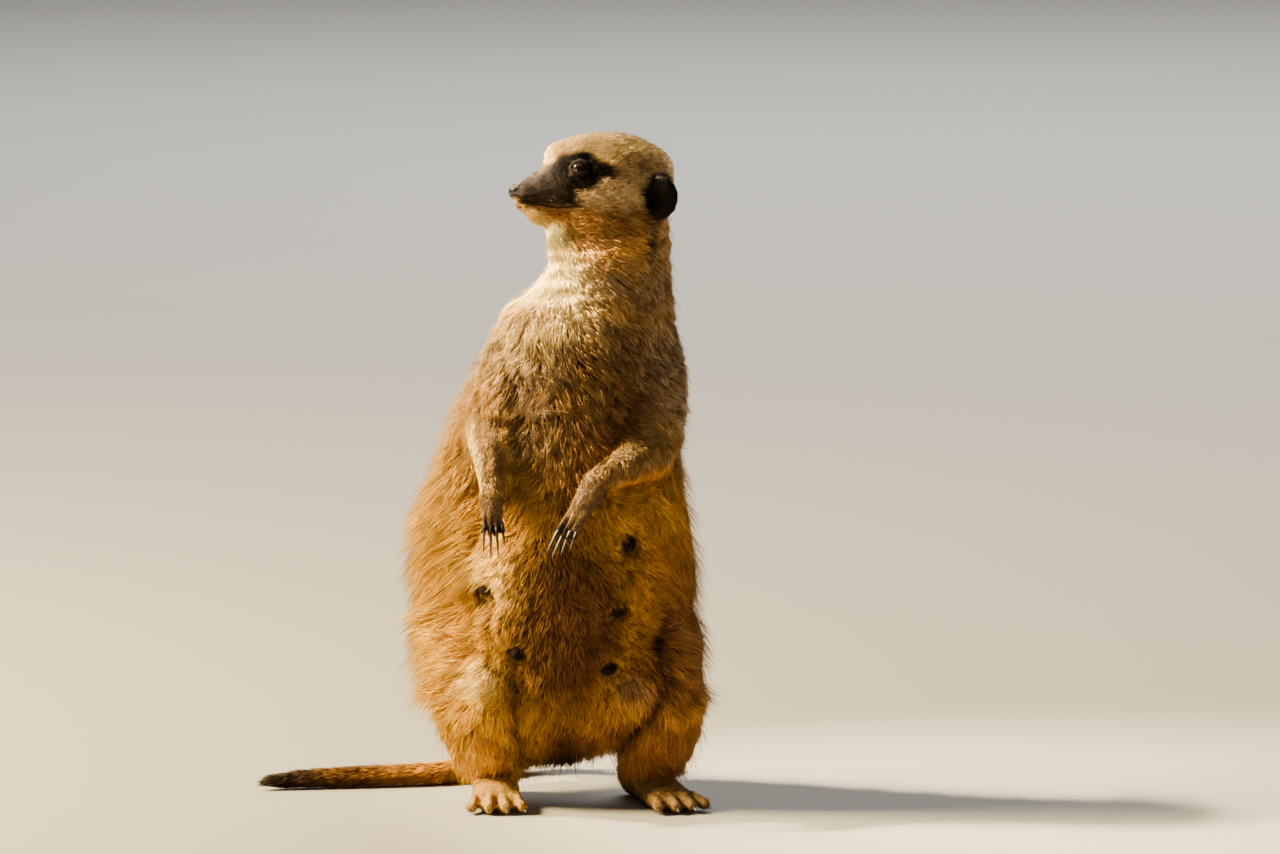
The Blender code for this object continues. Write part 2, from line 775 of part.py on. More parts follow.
def main():
    clear_scene()
    nodes = part_the_body(whole_shape())
    add_face(nodes)
    add_claws(nodes)
    centre_on_floor(nodes)


main()
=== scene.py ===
# %% [markdown]
# # A life-size meerkat
# A museum's still model of a meerkat that stands up to keep watch. The CAD solids give its outline, out to
# the tips of the coat. This script lays a skin inside that outline, sets eyes, a nose and claws in it, and
# grows a coat of small solid tufts over it.

# %% Load the frame
import heapq
import math

import bmesh
import bpy
import numpy as np
from mathutils import Matrix, Vector
from mathutils.bvhtree import BVHTree
from mathutils.kdtree import KDTree


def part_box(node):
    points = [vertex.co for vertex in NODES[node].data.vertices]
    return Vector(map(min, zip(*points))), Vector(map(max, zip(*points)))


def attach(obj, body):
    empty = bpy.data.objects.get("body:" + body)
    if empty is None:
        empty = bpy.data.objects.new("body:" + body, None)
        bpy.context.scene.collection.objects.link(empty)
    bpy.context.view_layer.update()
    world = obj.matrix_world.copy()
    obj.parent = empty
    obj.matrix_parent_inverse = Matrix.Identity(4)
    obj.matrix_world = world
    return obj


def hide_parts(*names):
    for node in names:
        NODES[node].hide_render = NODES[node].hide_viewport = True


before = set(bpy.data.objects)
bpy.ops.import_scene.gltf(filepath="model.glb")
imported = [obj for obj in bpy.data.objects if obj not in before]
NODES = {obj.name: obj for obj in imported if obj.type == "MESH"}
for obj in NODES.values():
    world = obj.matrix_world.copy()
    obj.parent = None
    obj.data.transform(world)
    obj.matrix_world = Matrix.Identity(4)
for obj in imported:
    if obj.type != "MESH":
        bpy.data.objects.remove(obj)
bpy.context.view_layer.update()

MM = 0.001


# %% [markdown]
# ## Camera, floor and light
# A long lens from low down keeps the upright body free of perspective. The camera stands to the front and
# aims beside the animal, which leaves room on the side that it looks away from.

# %% Camera
CAMERA_DISTANCE = 3.2
CAMERA_RISE = math.radians(7)
CAMERA_AIM = Vector((0.0702, -0.0009, 0.1673))

lens = bpy.data.cameras.new("camera")
lens.lens = 200
lens.sensor_width = 36
camera = bpy.data.objects.new("camera", lens)
bpy.context.scene.collection.objects.link(camera)
backwards = Vector((0, -math.cos(CAMERA_RISE), math.sin(CAMERA_RISE)))
camera.location = CAMERA_AIM + CAMERA_DISTANCE * backwards
camera.rotation_euler = (-backwards).to_track_quat("-Z", "Y").to_euler()
bpy.context.scene.camera = camera
print("camera:", CAMERA_DISTANCE, "m away with a lens of", lens.lens, "mm")


# %% [markdown]
# The floor is a plain pale sheet. The main light is a warm one at the animal's right, like a low sun,
# which catches the tips of the coat there. Two narrow lamps reach what it leaves dark: one from above,
# aimed at the head, and one from below, aimed at the throat, like the glow from sunlit ground. A weak
# light fills the front, another lifts the far edge from the background, and a broad one behind lights the
# floor. A Recipe is a short way to write down a material's nodes, for the floor and for every piece below.

# %% Floor and lights
FLOOR_HALF = 14  # metres from the middle to the edge


def fill(node, inputs):
    """Sets the values of a shader node's inputs."""
    for name, value in inputs.items():
        node.inputs[name].default_value = value


class Recipe:
    """A Principled material, with short ways to add nodes to it and to join them."""

    def __init__(self, name, colour, roughness, specular=0.5):
        self.material = bpy.data.materials.new(name)
        self.material.use_nodes = True
        self.tree = self.material.node_tree
        self.shader = self.tree.nodes["Principled BSDF"]
        fill(self.shader, {"Base Color": (*colour, 1), "Roughness": roughness})
        fill(self.shader, {"Specular IOR Level": specular})

    def add(self, kind, inputs=None, **settings):
        """A new node with these settings and values of its inputs."""
        node = self.tree.nodes.new("ShaderNode" + kind)
        for name, value in settings.items():
            setattr(node, name, value)
        fill(node, inputs or {})
        return node

    def join(self, start, output, end, entry):
        self.tree.links.new(start.outputs[output], end.inputs[entry])

    def placed(self, kind, inputs=None, **settings):
        """A new node that reads the place on the piece."""
        node = self.add(kind, inputs, **settings)
        self.join(self.add("TexCoord"), "Object", node, "Vector")
        return node

    def colour_by(self, source, output, stops):
        """Gives the surface the colours of a ramp, picked by another node's output."""
        ramp_node = self.add("ValToRGB")
        elements = ramp_node.color_ramp.elements
        for i, (at, colour) in enumerate(stops):
            stop = elements[i] if i < 2 else elements.new(at)
            stop.position = at
            stop.color = (*colour, 1)
        self.join(source, output, ramp_node, "Fac")
        self.join(ramp_node, "Color", self.shader, "Base Color")

    def relief_by(self, source, output, strength, height, invert=False):
        """Raises fine bumps on the surface where another node's output is high."""
        bumps = self.add("Bump", {"Strength": strength, "Distance": height}, invert=invert)
        self.join(source, output, bumps, "Height")
        self.join(bumps, "Normal", self.shader, "Normal")


def add_object(name, mesh):
    made = bpy.data.objects.new(name, mesh)
    bpy.context.scene.collection.objects.link(made)
    return made


def finished_mesh(name, shape):
    """The bmesh as a mesh. The bmesh itself is freed."""
    mesh = bpy.data.meshes.new(name)
    shape.to_mesh(mesh)
    shape.free()
    return mesh


floor_shape = bmesh.new()
bmesh.ops.create_grid(floor_shape, x_segments=1, y_segments=1, size=FLOOR_HALF)
floor = add_object("floor", finished_mesh("floor", floor_shape))
floor.data.materials.append(Recipe("pale_floor", (0.29, 0.28, 0.262), 0.9).material)


def soft_light(name, place, size, power, colour, aim=(0.03, 0, 0.15), cone=180):
    """A square lamp at this place that faces the middle of the body, or another aim, in a cone of light."""
    lamp = bpy.data.lights.new(name, "AREA")
    lamp.spread = math.radians(cone)
    lamp.size = size
    lamp.energy = power
    lamp.color = colour
    made = bpy.data.objects.new(name, lamp)
    made.location = place
    made.rotation_euler = (Vector(aim) - Vector(place)).to_track_quat("-Z", "Y").to_euler()
    bpy.context.scene.collection.objects.link(made)


soft_light("sun_side", (-1.45, -0.02, 0.98), 0.35, 270, (1.0, 0.77, 0.38))
soft_light("over_head", (-0.34, 0.1, 0.76), 0.06, 3.7, (1.0, 0.80, 0.50), (0.05, 0.0, 0.285), 36)
soft_light("throat_glow", (-0.42, -0.26, 0.14), 0.12, 0.10, (1.0, 0.68, 0.28), (0.006, 0, 0.238), 14)
soft_light("front_fill", (0.5, -1.9, 0.9), 1.0, 3, (1.0, 0.88, 0.74))
soft_light("far_rim", (1.1, 1.2, 1.0), 0.8, 9, (1.0, 0.86, 0.66))
soft_light("back_of_room", (0.4, 3.4, 2.4), 3.0, 235, (1.0, 0.99, 0.97), (0.4, 3.4, 0))
world = bpy.data.worlds.new("studio")
world.use_nodes = True
sky = world.node_tree.nodes["Background"]
sky.inputs["Color"].default_value = (0.92, 0.9, 0.86, 1)
sky.inputs["Strength"].default_value = 0.13
bpy.context.scene.world = world
print("lamps:", ", ".join(lamp.name for lamp in bpy.data.lights))


# %% [markdown]
# ## Digits
# Fingers and toes end at the claws, so the claws tell where they are. A claw's root, its middle and its
# tip are read from the points of its CAD solid. A chain of balls, from just over the claw's root back into
# the hand or foot, makes each digit.

# %% Digits from the claws
# A digit's radius, how far back it runs, how far it turns towards the middle of the hand or foot, and how far
# it reaches over the claw.
DIGITS = {"hand": (2.0, 9.0, 0.35, 0.9), "foot": (3.5, 10.0, 0.8, 0.5)}
DIGIT_BALLS = 7


def read_all(items, attribute, columns, kind=float):
    """One attribute of every item, as the rows of an array."""
    flat = np.empty(len(items) * columns, kind)
    items.foreach_get(attribute, flat)
    return flat.reshape(-1, columns)


def mesh_points(mesh):
    """The mesh's points in millimetres."""
    return read_all(mesh.vertices, "co", 3) / MM


def box_middle(name):
    low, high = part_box(name)
    return (Vector(low) + Vector(high)) / 2


def holder_of(name):
    """Whether a claw's holder is a hand or a foot, and the holder's middle in millimetres."""
    kind, side = name.split("_")[1:3]
    return kind, np.array(box_middle(f"{kind}_{side}")) / MM


def claw_curve(name):
    """Root, middle and tip of a CAD claw, in millimetres."""
    places = mesh_points(NODES[name].data)
    kind, holder = holder_of(name)
    if kind == "hand":
        holder = holder + np.array([0, 0, 12])
    reach = np.linalg.norm(places - holder, axis=1)
    tip = places[reach > reach.max() - 0.25].mean(axis=0)
    root = places[reach < reach.min() + 1.6].mean(axis=0)
    halfway = np.linalg.norm(places - root, axis=1) / np.linalg.norm(tip - root)
    near = np.abs(halfway - 0.5) < 0.3
    middle = places[near].mean(axis=0) if near.any() else (root + tip) / 2
    return root, middle, tip


def add_digit(shape, name):
    """Adds a chain of balls to the shape for the digit that carries this claw."""
    root, middle, tip = claw_curve(name)
    kind, holder = holder_of(name)
    heading = (middle - root) / np.linalg.norm(middle - root)
    inward = (holder - root) / np.linalg.norm(holder - root)
    girth, reach, turn, start = DIGITS[kind]
    back = inward * turn - heading * (1 - turn)
    back /= np.linalg.norm(back)
    for i in range(DIGIT_BALLS):
        place = root + start * heading + back * reach * i / (DIGIT_BALLS - 1)
        if kind == "foot":
            place[2] = max(place[2], girth + 0.1)
        radius = girth * (0.9 + 0.2 * i / (DIGIT_BALLS - 1)) * MM
        matrix = Matrix.Translation(Vector(place) * MM)
        bmesh.ops.create_icosphere(shape, subdivisions=3, radius=radius, matrix=matrix)


CLAWS = sorted(name for name in NODES if name.startswith("claw"))
for name in CLAWS[::4]:
    root, _, tip = claw_curve(name)
    print(name, "root", root.round(1).tolist(), "tip", tip.round(1).tolist())


# %% [markdown]
# ## The skin
# On the animal one skin covers everything, so the separate CAD solids of flesh become one closed mesh
# here. Copies of them are swollen a little, so that the saw cuts close, and a voxel remesh turns them into
# one shape. The eyeballs go in too, so that no open socket is left: the lids are shaped over them later.

# %% One mesh from the CAD solids
SWELL = 0.25  # closes the 0.3 mm cuts between the solids
VOXEL = 0.8
EYE_SHRINK = -0.3  # keeps the eyeballs' fill behind the lids
FLESH = [name for name in NODES if not name.startswith(("eye", "claw"))]
EYES = ["eye_left", "eye_right"]


def cad_copy(name, swell):
    """The merged mesh of a CAD node, as a bmesh, moved out along its normals."""
    shape = bmesh.new()
    shape.from_mesh(NODES[name].data)
    bmesh.ops.remove_doubles(shape, verts=shape.verts, dist=0.001 * MM)
    shape.normal_update()
    for vert in shape.verts:
        vert.co += vert.normal * swell * MM
    return shape


def apply_modifiers(obj):
    """Puts the modifiers' result in place of the object's mesh."""
    graph = bpy.context.evaluated_depsgraph_get()
    mesh = bpy.data.meshes.new_from_object(obj.evaluated_get(graph))
    obj.modifiers.clear()
    obj.data = mesh


def joined_copies():
    everything = bmesh.new()
    for name in FLESH + EYES:
        everything.from_mesh(finished_mesh(name, cad_copy(name, SWELL if name in FLESH else EYE_SHRINK)))
    for name in CLAWS:
        add_digit(everything, name)
    return add_object("skin", finished_mesh("skin", everything))


skin = joined_copies()
remesh = skin.modifiers.new("one_shape", "REMESH")
remesh.mode = "VOXEL"
remesh.voxel_size = VOXEL * MM
flow = skin.modifiers.new("flow", "SMOOTH")
flow.factor = 0.5
flow.iterations = 3
apply_modifiers(skin)
print("skin after the remesh:", len(skin.data.vertices), "points")


# %% [markdown]
# ## Places on the head
# The head is turned, so its features are easier to place in a frame of its own: forward along the muzzle,
# out to the animal's left, and up, in millimetres from the point midway between the eyes.

# %% The head's frame
SIDES = {"left": 1, "right": -1}  # which way each side lies from the head's middle
EYE_PLACES = {side: box_middle(f"eye_{side}") for side in SIDES}
EYE_RADIUS = (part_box("eye_left")[1][2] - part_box("eye_left")[0][2]) / 2 / MM
UP = Vector((0, 0, 1))
HEAD_LEFT = (EYE_PLACES["left"] - EYE_PLACES["right"]).normalized()
NOSEWARD = HEAD_LEFT.cross(UP).normalized()
HEAD_MIDDLE = (EYE_PLACES["left"] + EYE_PLACES["right"]) / 2
HEAD_AXES = np.array([NOSEWARD, HEAD_LEFT, UP])


def in_head(points):
    """Forward, leftward and upward millimetres from midway between the eyes."""
    return (points - np.array(HEAD_MIDDLE) / MM) @ HEAD_AXES.T


def from_head(forward, left, up):
    """The world place, in metres, of a point given in the head's frame."""
    local = np.array((forward, left, up)) @ HEAD_AXES
    return Vector(local * MM) + HEAD_MIDDLE


print("eyes:", round(EYE_RADIUS, 2), "mm radius, set", in_head(np.array(EYE_PLACES["left"]) / MM).round(1))


# %% [markdown]
# A second pass thins the mesh where fur will hide it, and keeps it fine on the head, hands and feet. The
# decimate modifier weighs a vertex group most evenly when the mesh is measured in millimetres.

# %% Fewer points on the body
def store_points(mesh, points):
    mesh.vertices.foreach_set("co", (points * MM).ravel())
    mesh.update()


def near_boxes(points, names, margin):
    """True for the points inside the named nodes' boxes, grown by margin millimetres."""
    found = np.zeros(len(points), bool)
    for name in names:
        low, high = (np.array(corner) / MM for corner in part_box(name))
        found |= ((points > low - margin) & (points < high + margin)).all(axis=1)
    return found


KEPT_SHARE = 0.36  # of the faces
FINE_NODES = ["head", "hand_left", "hand_right", "foot_left", "foot_right"]
points = mesh_points(skin.data)
fine = near_boxes(points, FINE_NODES + CLAWS, 1.5)
plain = skin.vertex_groups.new(name="plain")
plain.add([int(i) for i in np.flatnonzero(fine)], 0.25, "REPLACE")
plain.add([int(i) for i in np.flatnonzero(~fine)], 1.0, "REPLACE")
skin.data.transform(Matrix.Scale(1 / MM, 4))
thin = skin.modifiers.new("thin", "DECIMATE")
thin.ratio = KEPT_SHARE
thin.vertex_group = "plain"
thin.vertex_group_factor = 4
apply_modifiers(skin)
skin.data.transform(Matrix.Scale(MM, 4))
skin.vertex_groups.clear()
print("skin thinned to:", len(skin.data.vertices), "points,", len(skin.data.polygons), "faces")


# %% [markdown]
# Lids, lips, nose and nipples need more points than the cheeks do, so the edges near them are cut once
# more. The nipples' places are given as they are seen from the front.

# %% More points round the small features
NIPPLES = [(2.8, 98.9), (64.4, 119.4), (60.3, 90.7), (15.8, 71.8), (55.9, 64.5)]  # x, z


def near_nipples(points):
    """Distance in x and z from the nearest nipple on the body's front, and large elsewhere."""
    reach = np.min([np.hypot(points[:, 0] - x, points[:, 2] - z) for x, z in NIPPLES], axis=0)
    return np.where(points[:, 1] < -15, reach, 1e3)


def near_eyes(points, reach):
    found = np.zeros(len(points), bool)
    for place in EYE_PLACES.values():
        found |= np.linalg.norm(points - np.array(place) / MM, axis=1) < reach
    return found


shape = bmesh.new()
shape.from_mesh(skin.data)
places = mesh_points(skin.data)
local = in_head(places)
muzzle = (local[:, 0] > 1) & (local[:, 2] < -8) & (local[:, 2] > -22)
wanted = near_eyes(places, 9.5) | muzzle | (near_nipples(places) < 5.5)
shape.verts.ensure_lookup_table()
edges = [e for e in shape.edges if wanted[e.verts[0].index] and wanted[e.verts[1].index]]
bmesh.ops.subdivide_edges(shape, edges=edges, cuts=1, use_grid_fill=True)
bmesh.ops.triangulate(shape, faces=[f for f in shape.faces if len(f.verts) > 3])
shape.to_mesh(skin.data)
shape.free()
print("skin with a finer face:", len(skin.data.vertices), "points")


# %% [markdown]
# ## Reading the skin
# The next steps ask the mesh which part of the body each point belongs to and which points are its
# neighbours. The nearest CAD solid names the part. Spreading a value over the neighbours, again and again,
# turns hard borders between parts into soft ones.

# %% Neighbours and parts
def point_normals(mesh):
    return read_all(mesh.vertex_normals, "vector", 3)


EDGES = read_all(skin.data.edges, "vertices", 2, np.int32)
COUNT = len(skin.data.vertices)
DEGREE = np.bincount(EDGES.ravel(), minlength=COUNT)


def spread(values, rounds):
    """Mixes each point's value with its neighbours' average, this many times."""
    columns = values.reshape(COUNT, -1)
    start, end = EDGES.T
    for _ in range(rounds):
        mixed = []
        for column in columns.T:
            total = np.bincount(start, column[end], COUNT) + np.bincount(end, column[start], COUNT)
            mixed.append(0.5 * column + 0.5 * total / DEGREE)
        columns = np.stack(mixed, axis=1)
    return columns.reshape(values.shape)


def nearest_nodes(points):
    """The name of the nearest CAD solid of flesh, for each point. A claw counts as its hand or foot."""
    corners, faces, owners = [], [], []
    for name in FLESH + CLAWS:
        mesh = NODES[name].data
        first = len(corners)
        corners += [vert.co for vert in mesh.vertices]
        faces += [[first + i for i in face.vertices] for face in mesh.polygons]
        part = "_".join(name.split("_")[1:3]) if name in CLAWS else name
        owners += [part] * len(mesh.polygons)
    tree = BVHTree.FromPolygons(corners, faces)
    return [owners[tree.find_nearest(Vector(point) * MM)[2]] for point in points]


points = mesh_points(skin.data)
owner = np.array(nearest_nodes(points))
for name in FLESH:
    print(f"  {name}: {np.sum(owner == name)} points")


# %% [markdown]
# ## How the coat grows
# Hair lies away from the nose: back over the head, down the body, along each limb and out along the tail.
# So the lie of the coat is the direction in which the way from the nose, measured over the skin, gets
# longer.

# %% The way from the nose
def way_from(start, points):
    """The shortest way over the mesh's edges from one point to every other."""
    neighbours = [[] for _ in range(COUNT)]
    lengths = np.linalg.norm(points[EDGES[:, 0]] - points[EDGES[:, 1]], axis=1)
    for (a, b), length in zip(EDGES.tolist(), lengths.tolist()):
        neighbours[a].append((b, length))
        neighbours[b].append((a, length))
    way = [math.inf] * COUNT
    way[start] = 0.0
    queue = [(0.0, start)]
    while queue:
        done, here = heapq.heappop(queue)
        if done > way[here]:
            continue
        for there, length in neighbours[here]:
            longer = done + length
            if longer < way[there]:
                way[there] = longer
                heapq.heappush(queue, (longer, there))
    return np.array(way)


def triangle_corners(mesh):
    mesh.calc_loop_triangles()
    return read_all(mesh.loop_triangles, "vertices", 3, np.int32)


def unit(vectors):
    return vectors / np.maximum(np.linalg.norm(vectors, axis=-1, keepdims=True), 1e-9)


def along_surface(vectors, normals):
    """The vectors without their part along the normals, at unit length."""
    return unit(vectors - np.sum(vectors * normals, axis=1, keepdims=True) * normals)


def uphill(values, points, triangles):
    """The direction in which a value grows over the surface, at each point."""
    a, b, c = (points[triangles[:, i]] for i in range(3))
    cross = np.cross(b - a, c - a)
    area = np.linalg.norm(cross, axis=1, keepdims=True)
    normal = cross / np.maximum(area, 1e-9)
    va, vb, vc = (values[triangles[:, i]][:, None] for i in range(3))
    slope = np.cross(normal, va * (c - b) + vb * (a - c) + vc * (b - a))
    total = np.zeros_like(points)
    for i in range(3):
        for axis in range(3):
            total[:, axis] += np.bincount(triangles[:, i], slope[:, axis], COUNT)
    return unit(total)


TRIANGLES = triangle_corners(skin.data)
nose_tip = int(np.argmax(np.where(owner == "nose_pad", in_head(points)[:, 0], -math.inf)))
way = way_from(nose_tip, points)
normals = point_normals(skin.data)
lie = along_surface(spread(uphill(spread(way, 6), points, TRIANGLES), 25), normals)
print("longest way from the nose:", round(way.max()), "mm")


# %% [markdown]
# Each part of the body has its own kind of coat: how deep it is, how long its tufts are, how steeply they
# stand, how wide they are and how many grow on a square millimetre. The values come from a table by part,
# softened across the borders.

# %% The kinds of coat
MIDDLE_X = 36.0  # the body's middle line, seen from the front
COATS = {  # depth, length, lift in degrees, width, tufts per square millimetre
    "nose_pad": (0.35, 0.8, 20, 0.16, 0.0),
    "head": (1.0, 3.0, 20, 0.24, 5.0),
    "ear": (0.45, 1.6, 32, 0.22, 5.0),
    "neck": (3.2, 6.5, 21, 0.34, 3.4),
    "trunk": (4.6, 10.0, 27, 0.42, 2.5),
    "upper_arm": (2.6, 7.5, 26, 0.36, 3.0),
    "forearm": (1.4, 5.0, 21, 0.30, 4.0),
    "hand": (0.5, 2.6, 17, 0.22, 6.0),
    "thigh": (4.2, 10.5, 27, 0.42, 2.6),
    "lower_leg": (3.0, 10.0, 25, 0.38, 3.0),
    "foot": (0.6, 2.8, 24, 0.26, 5.0),
    "tail_root": (2.0, 7.0, 24, 0.34, 3.4),
    "tail_middle": (1.5, 6.0, 22, 0.32, 3.6),
    "tail_end": (1.2, 5.0, 20, 0.30, 3.8),
}


def kind_of(name):
    for end in ("_left", "_right"):
        name = name.removesuffix(end)
    return name


def bump(distance, width):
    """1 at distance 0, falling smoothly to 0 at the width."""
    inside = np.clip(1 - np.abs(distance) / width, 0, 1)
    return inside * inside * (3 - 2 * inside)


def ramp(value, low, high):
    """0 below low and 1 above high, with a smooth rise between them. low may be the larger."""
    t = np.clip((value - low) / (high - low), 0, 1)
    return t * t * (3 - 2 * t)


def oval(points, middle, radii):
    """1 at the middle of an oval region, falling smoothly to 0 at its edge."""
    reach = np.linalg.norm((points - np.array(middle)) / np.array(radii), axis=1)
    return bump(reach, 1.0)


def part_share(*kinds, rounds=14):
    """1 on these kinds of parts and 0 elsewhere, with borders softened this many times."""
    return spread(np.isin(KINDS, kinds).astype(float), rounds)


KINDS = np.array([kind_of(name) for name in owner])
coat = spread(np.array([COATS[kind] for kind in KINDS]), 22)
x, y, z = points.T
forward, sideways, upward = in_head(points).T
BODY = part_share("trunk", "thigh", "neck", "upper_arm")
LOWER_BODY = part_share("trunk", "thigh", "lower_leg")

# The animal's right flank and thigh are the shaggiest, and the belly is thinly covered.
shaggy = BODY * ramp(x, 16, -22) * ramp(z, 222, 150) * ramp(z, 18, 45)
far_flank = BODY * ramp(x, 76, 98) * ramp(z, 205, 120) * ramp(z, 18, 45)
belly = BODY * oval(points, (36, -52, 92), (44, 44, 74))
chest = BODY * oval(points, (38, -44, 190), (50, 42, 52))
depth, length, lift, width, density = coat.T.copy()
hem = LOWER_BODY * ramp(z, 46, 26) * ramp(z, 6, 12)
depth += 5.6 * shaggy + 1.4 * far_flank - 2.2 * belly + 0.4 * chest
length += 7.0 * shaggy + 4.0 * far_flank - 2.5 * belly + 1.0 * chest + 3.0 * hem
lift += 1.0 * shaggy + 2.0 * far_flank - 12.0 * belly + 4.0 * chest
density *= 1 - 0.45 * belly

# The coat of the leg runs out over the top of the foot, where it gets shorter towards the toes.
ankle = part_share("foot") * ramp(z, 11, 20)
length += 4.5 * ankle
lift += 6 * ankle

# On the head the muzzle is as smooth as velvet, and the coat gets longer towards the cheeks and the neck.
on_head = part_share("head", "nose_pad")
velvet = on_head * ramp(forward, 2, 14)
ruff = on_head * np.clip((-12 - upward) / 22, 0, 1)
depth += -0.45 * velvet + 2.2 * ruff
crown = on_head * ramp(upward, 3, 9)
length += -1.1 * velvet + 3.6 * ruff + 0.8 * on_head * ramp(forward, -8, -30) + 0.8 * crown
lift += -3.0 * velvet + 8.0 * ruff + 16.0 * crown
width += -0.06 * velvet + 0.05 * ruff
density += 3.0 * velvet - 1.0 * ruff
depth = spread(depth, 8)

# The long coat of the flanks fans outwards and the hair of the belly is parted along its middle.
outward = np.stack([np.sign(x - MIDDLE_X), np.zeros(COUNT), np.zeros(COUNT)], axis=1)
fan = spread(1.5 * shaggy + 0.9 * far_flank + 0.9 * belly * ramp(np.abs(x - MIDDLE_X), 2, 14), 10)
hanging = hem[:, None] * np.array([0, 0, -1.5])
lie = along_surface(spread(lie + fan[:, None] * outward + hanging, 10), normals)
lift += 24 * hem * ramp(-normals[:, 2], 0.3, 0.9)
print("coat depth from", depth.min().round(2), "to", depth.max().round(2), "mm")


# %% [markdown]
# The skin now sinks below the outline by the depth of the coat. The directions are averaged over
# neighbours first, so that the surface does not fold where it is tightly curved. The long coat of the right
# flank would make the body too broad, so the skin is drawn in under it.

# %% The skin under the coat
# How far the right flank is drawn in, at which height and how far up and down from there.
SLIMMING = ((6.0, 46, 34), (7.5, 92, 50), (4.5, 142, 42))

smooth_normals = unit(spread(normals, 6))
hollowness = np.sum((spread(points, 45) - points) * smooth_normals, axis=1)
crease = spread(BODY * ramp(hollowness, 0.25, 1.6), 3)
depth += 2.2 * crease
length *= 1 - 0.25 * crease
points = points - depth[:, None] * smooth_normals
soft_body = part_share("trunk", "thigh", "neck", "upper_arm", "lower_leg")
soft_limb = part_share("forearm", "tail_root", "tail_middle", "tail_end", "head")
soft_body *= 1 - part_share("hand", "foot", rounds=3)
smoother = spread(points, 14)
smooth = spread(points, 6)
points += soft_body[:, None] * (smoother - points)
points += (soft_limb * (1 - soft_body))[:, None] * (smooth - points)
collar = ramp(np.minimum(part_share("head"), part_share("neck", "trunk")), 0.02, 0.3)
collar = np.maximum(spread(collar, 10), 0.9 * part_share("neck"))
points += collar[:, None] * (spread(points, 110) - points)
slimmer = sum(amount * bump(z - height, reach) for amount, height, reach in SLIMMING)
points[:, 0] += slimmer * ramp(x, 12, -14) * part_share("trunk", "thigh")
points[:, 0] -= 2.2 * bump(z - 80, 80) * ramp(x, 60, 90) * BODY
print("skin", depth.mean().round(1), "mm below the outline on average")


# %% [markdown]
# ## The face
# An eyelid is a fold of skin that rests on the eyeball. Each point near an eye is described by its
# direction from the eyeball's middle. Directions inside an almond shape are the opening, and there the
# skin hides behind the eyeball. Just outside it the lid stands proud of the ball and rolls over into the
# cheek and the brow.

# %% Eyelids
EYE_GAZE = (0.42, 0.89, 0.10)  # forward, outward, up
OPENING = (math.radians(47), math.radians(34))  # half width and half height
LID = 0.75  # how far the lid's rim stands proud of the eyeball
HIDDEN = 0.9  # how far the skin in the opening lies inside the eyeball
LID_REACH = 13  # how far from the eyeball's middle the skin is shaped


def gaze_in_head(side):
    """The line of sight in the head's frame."""
    ahead, outward, upward = EYE_GAZE
    return unit(np.array([ahead, SIDES[side] * outward, upward]))


def eye_directions(points, side):
    """Way from the ball's middle, place in the opening (1 at its edge), height, and angle off the gaze."""
    offset = points - np.array(EYE_PLACES[side]) / MM
    distance = np.linalg.norm(offset, axis=1)
    local = unit(offset) @ HEAD_AXES.T
    gaze = gaze_in_head(side)
    across = unit(np.cross(gaze, (0, 0, 1)))
    raised = np.cross(across, gaze)
    off_axis = np.arccos(np.clip(local @ gaze, -1, 1))
    sidewards, upwards = local @ across, local @ raised
    spin = off_axis / np.maximum(np.hypot(sidewards, upwards), 1e-6)
    level = spin * sidewards / OPENING[0]
    height = spin * upwards / OPENING[1]
    narrowing = 1 - 0.3 * np.clip(level, -1, 1) ** 2
    return distance, np.hypot(level, height / narrowing), height, off_axis


def shape_eyelids(points):
    for side in SIDES:
        distance, reach, height, off_axis = eye_directions(points, side)
        near = (distance < LID_REACH) & (off_axis < 1.6)
        fade = ramp(off_axis, 1.55, 1.15)
        upper_lid = ramp(height, -0.3, 0.5)
        rim = EYE_RADIUS + LID * (0.75 + 0.25 * upper_lid)
        lid = distance + (rim - distance) * (1 - ramp(reach, 1.2, 2.7)) * fade
        lid -= 0.45 * bump(reach - 1.75, 0.35) * upper_lid * fade
        target = np.where(reach < 1.0, EYE_RADIUS - HIDDEN, lid)
        target -= 0.15 * bump(reach - 1.0, 0.12) * (reach > 1.0)
        middle = np.array(EYE_PLACES[side]) / MM
        direction = unit(points - middle)
        points = np.where(near[:, None], middle + target[:, None] * direction, points)
    return points


points = shape_eyelids(points)
way_to_eye, eye_reach = np.minimum(*(eye_directions(points, side)[:2] for side in SIDES))
print("points in the eyes' openings:", np.sum((eye_reach < 1) & (way_to_eye < EYE_RADIUS)))


# %% [markdown]
# The mouth is closed. Its line starts under the nose, dips along the upper lip and ends below the eye. A
# narrow groove follows it, with the upper lip slightly proud and the lower lip slightly tucked in. A
# second groove runs from the nose down to the mouth, and the pads at the muzzle's sides swell where the
# whiskers grow.

# %% Mouth and muzzle
MOUTH_FRONT = (28.5, -13.2)  # forward, up
MOUTH_MIDDLE = (16.0, -16.8)
MOUTH_CORNER = (3.0, -17.0)


def mouth_height(forward):
    """Height of the mouth's line at this distance forward of the eyes: a curve through three points."""
    (x0, y0), (x1, y1), (x2, y2) = MOUTH_FRONT, MOUTH_MIDDLE, MOUTH_CORNER
    total = y0 * (forward - x1) * (forward - x2) / ((x0 - x1) * (x0 - x2))
    total += y1 * (forward - x0) * (forward - x2) / ((x1 - x0) * (x1 - x2))
    return total + y2 * (forward - x0) * (forward - x1) / ((x2 - x0) * (x2 - x1))


def reshaped(points, shaper):
    """The points as the shaping function moves them. It is told the skin's normals where they are now."""
    store_points(skin.data, points)
    return shaper(points, point_normals(skin.data))


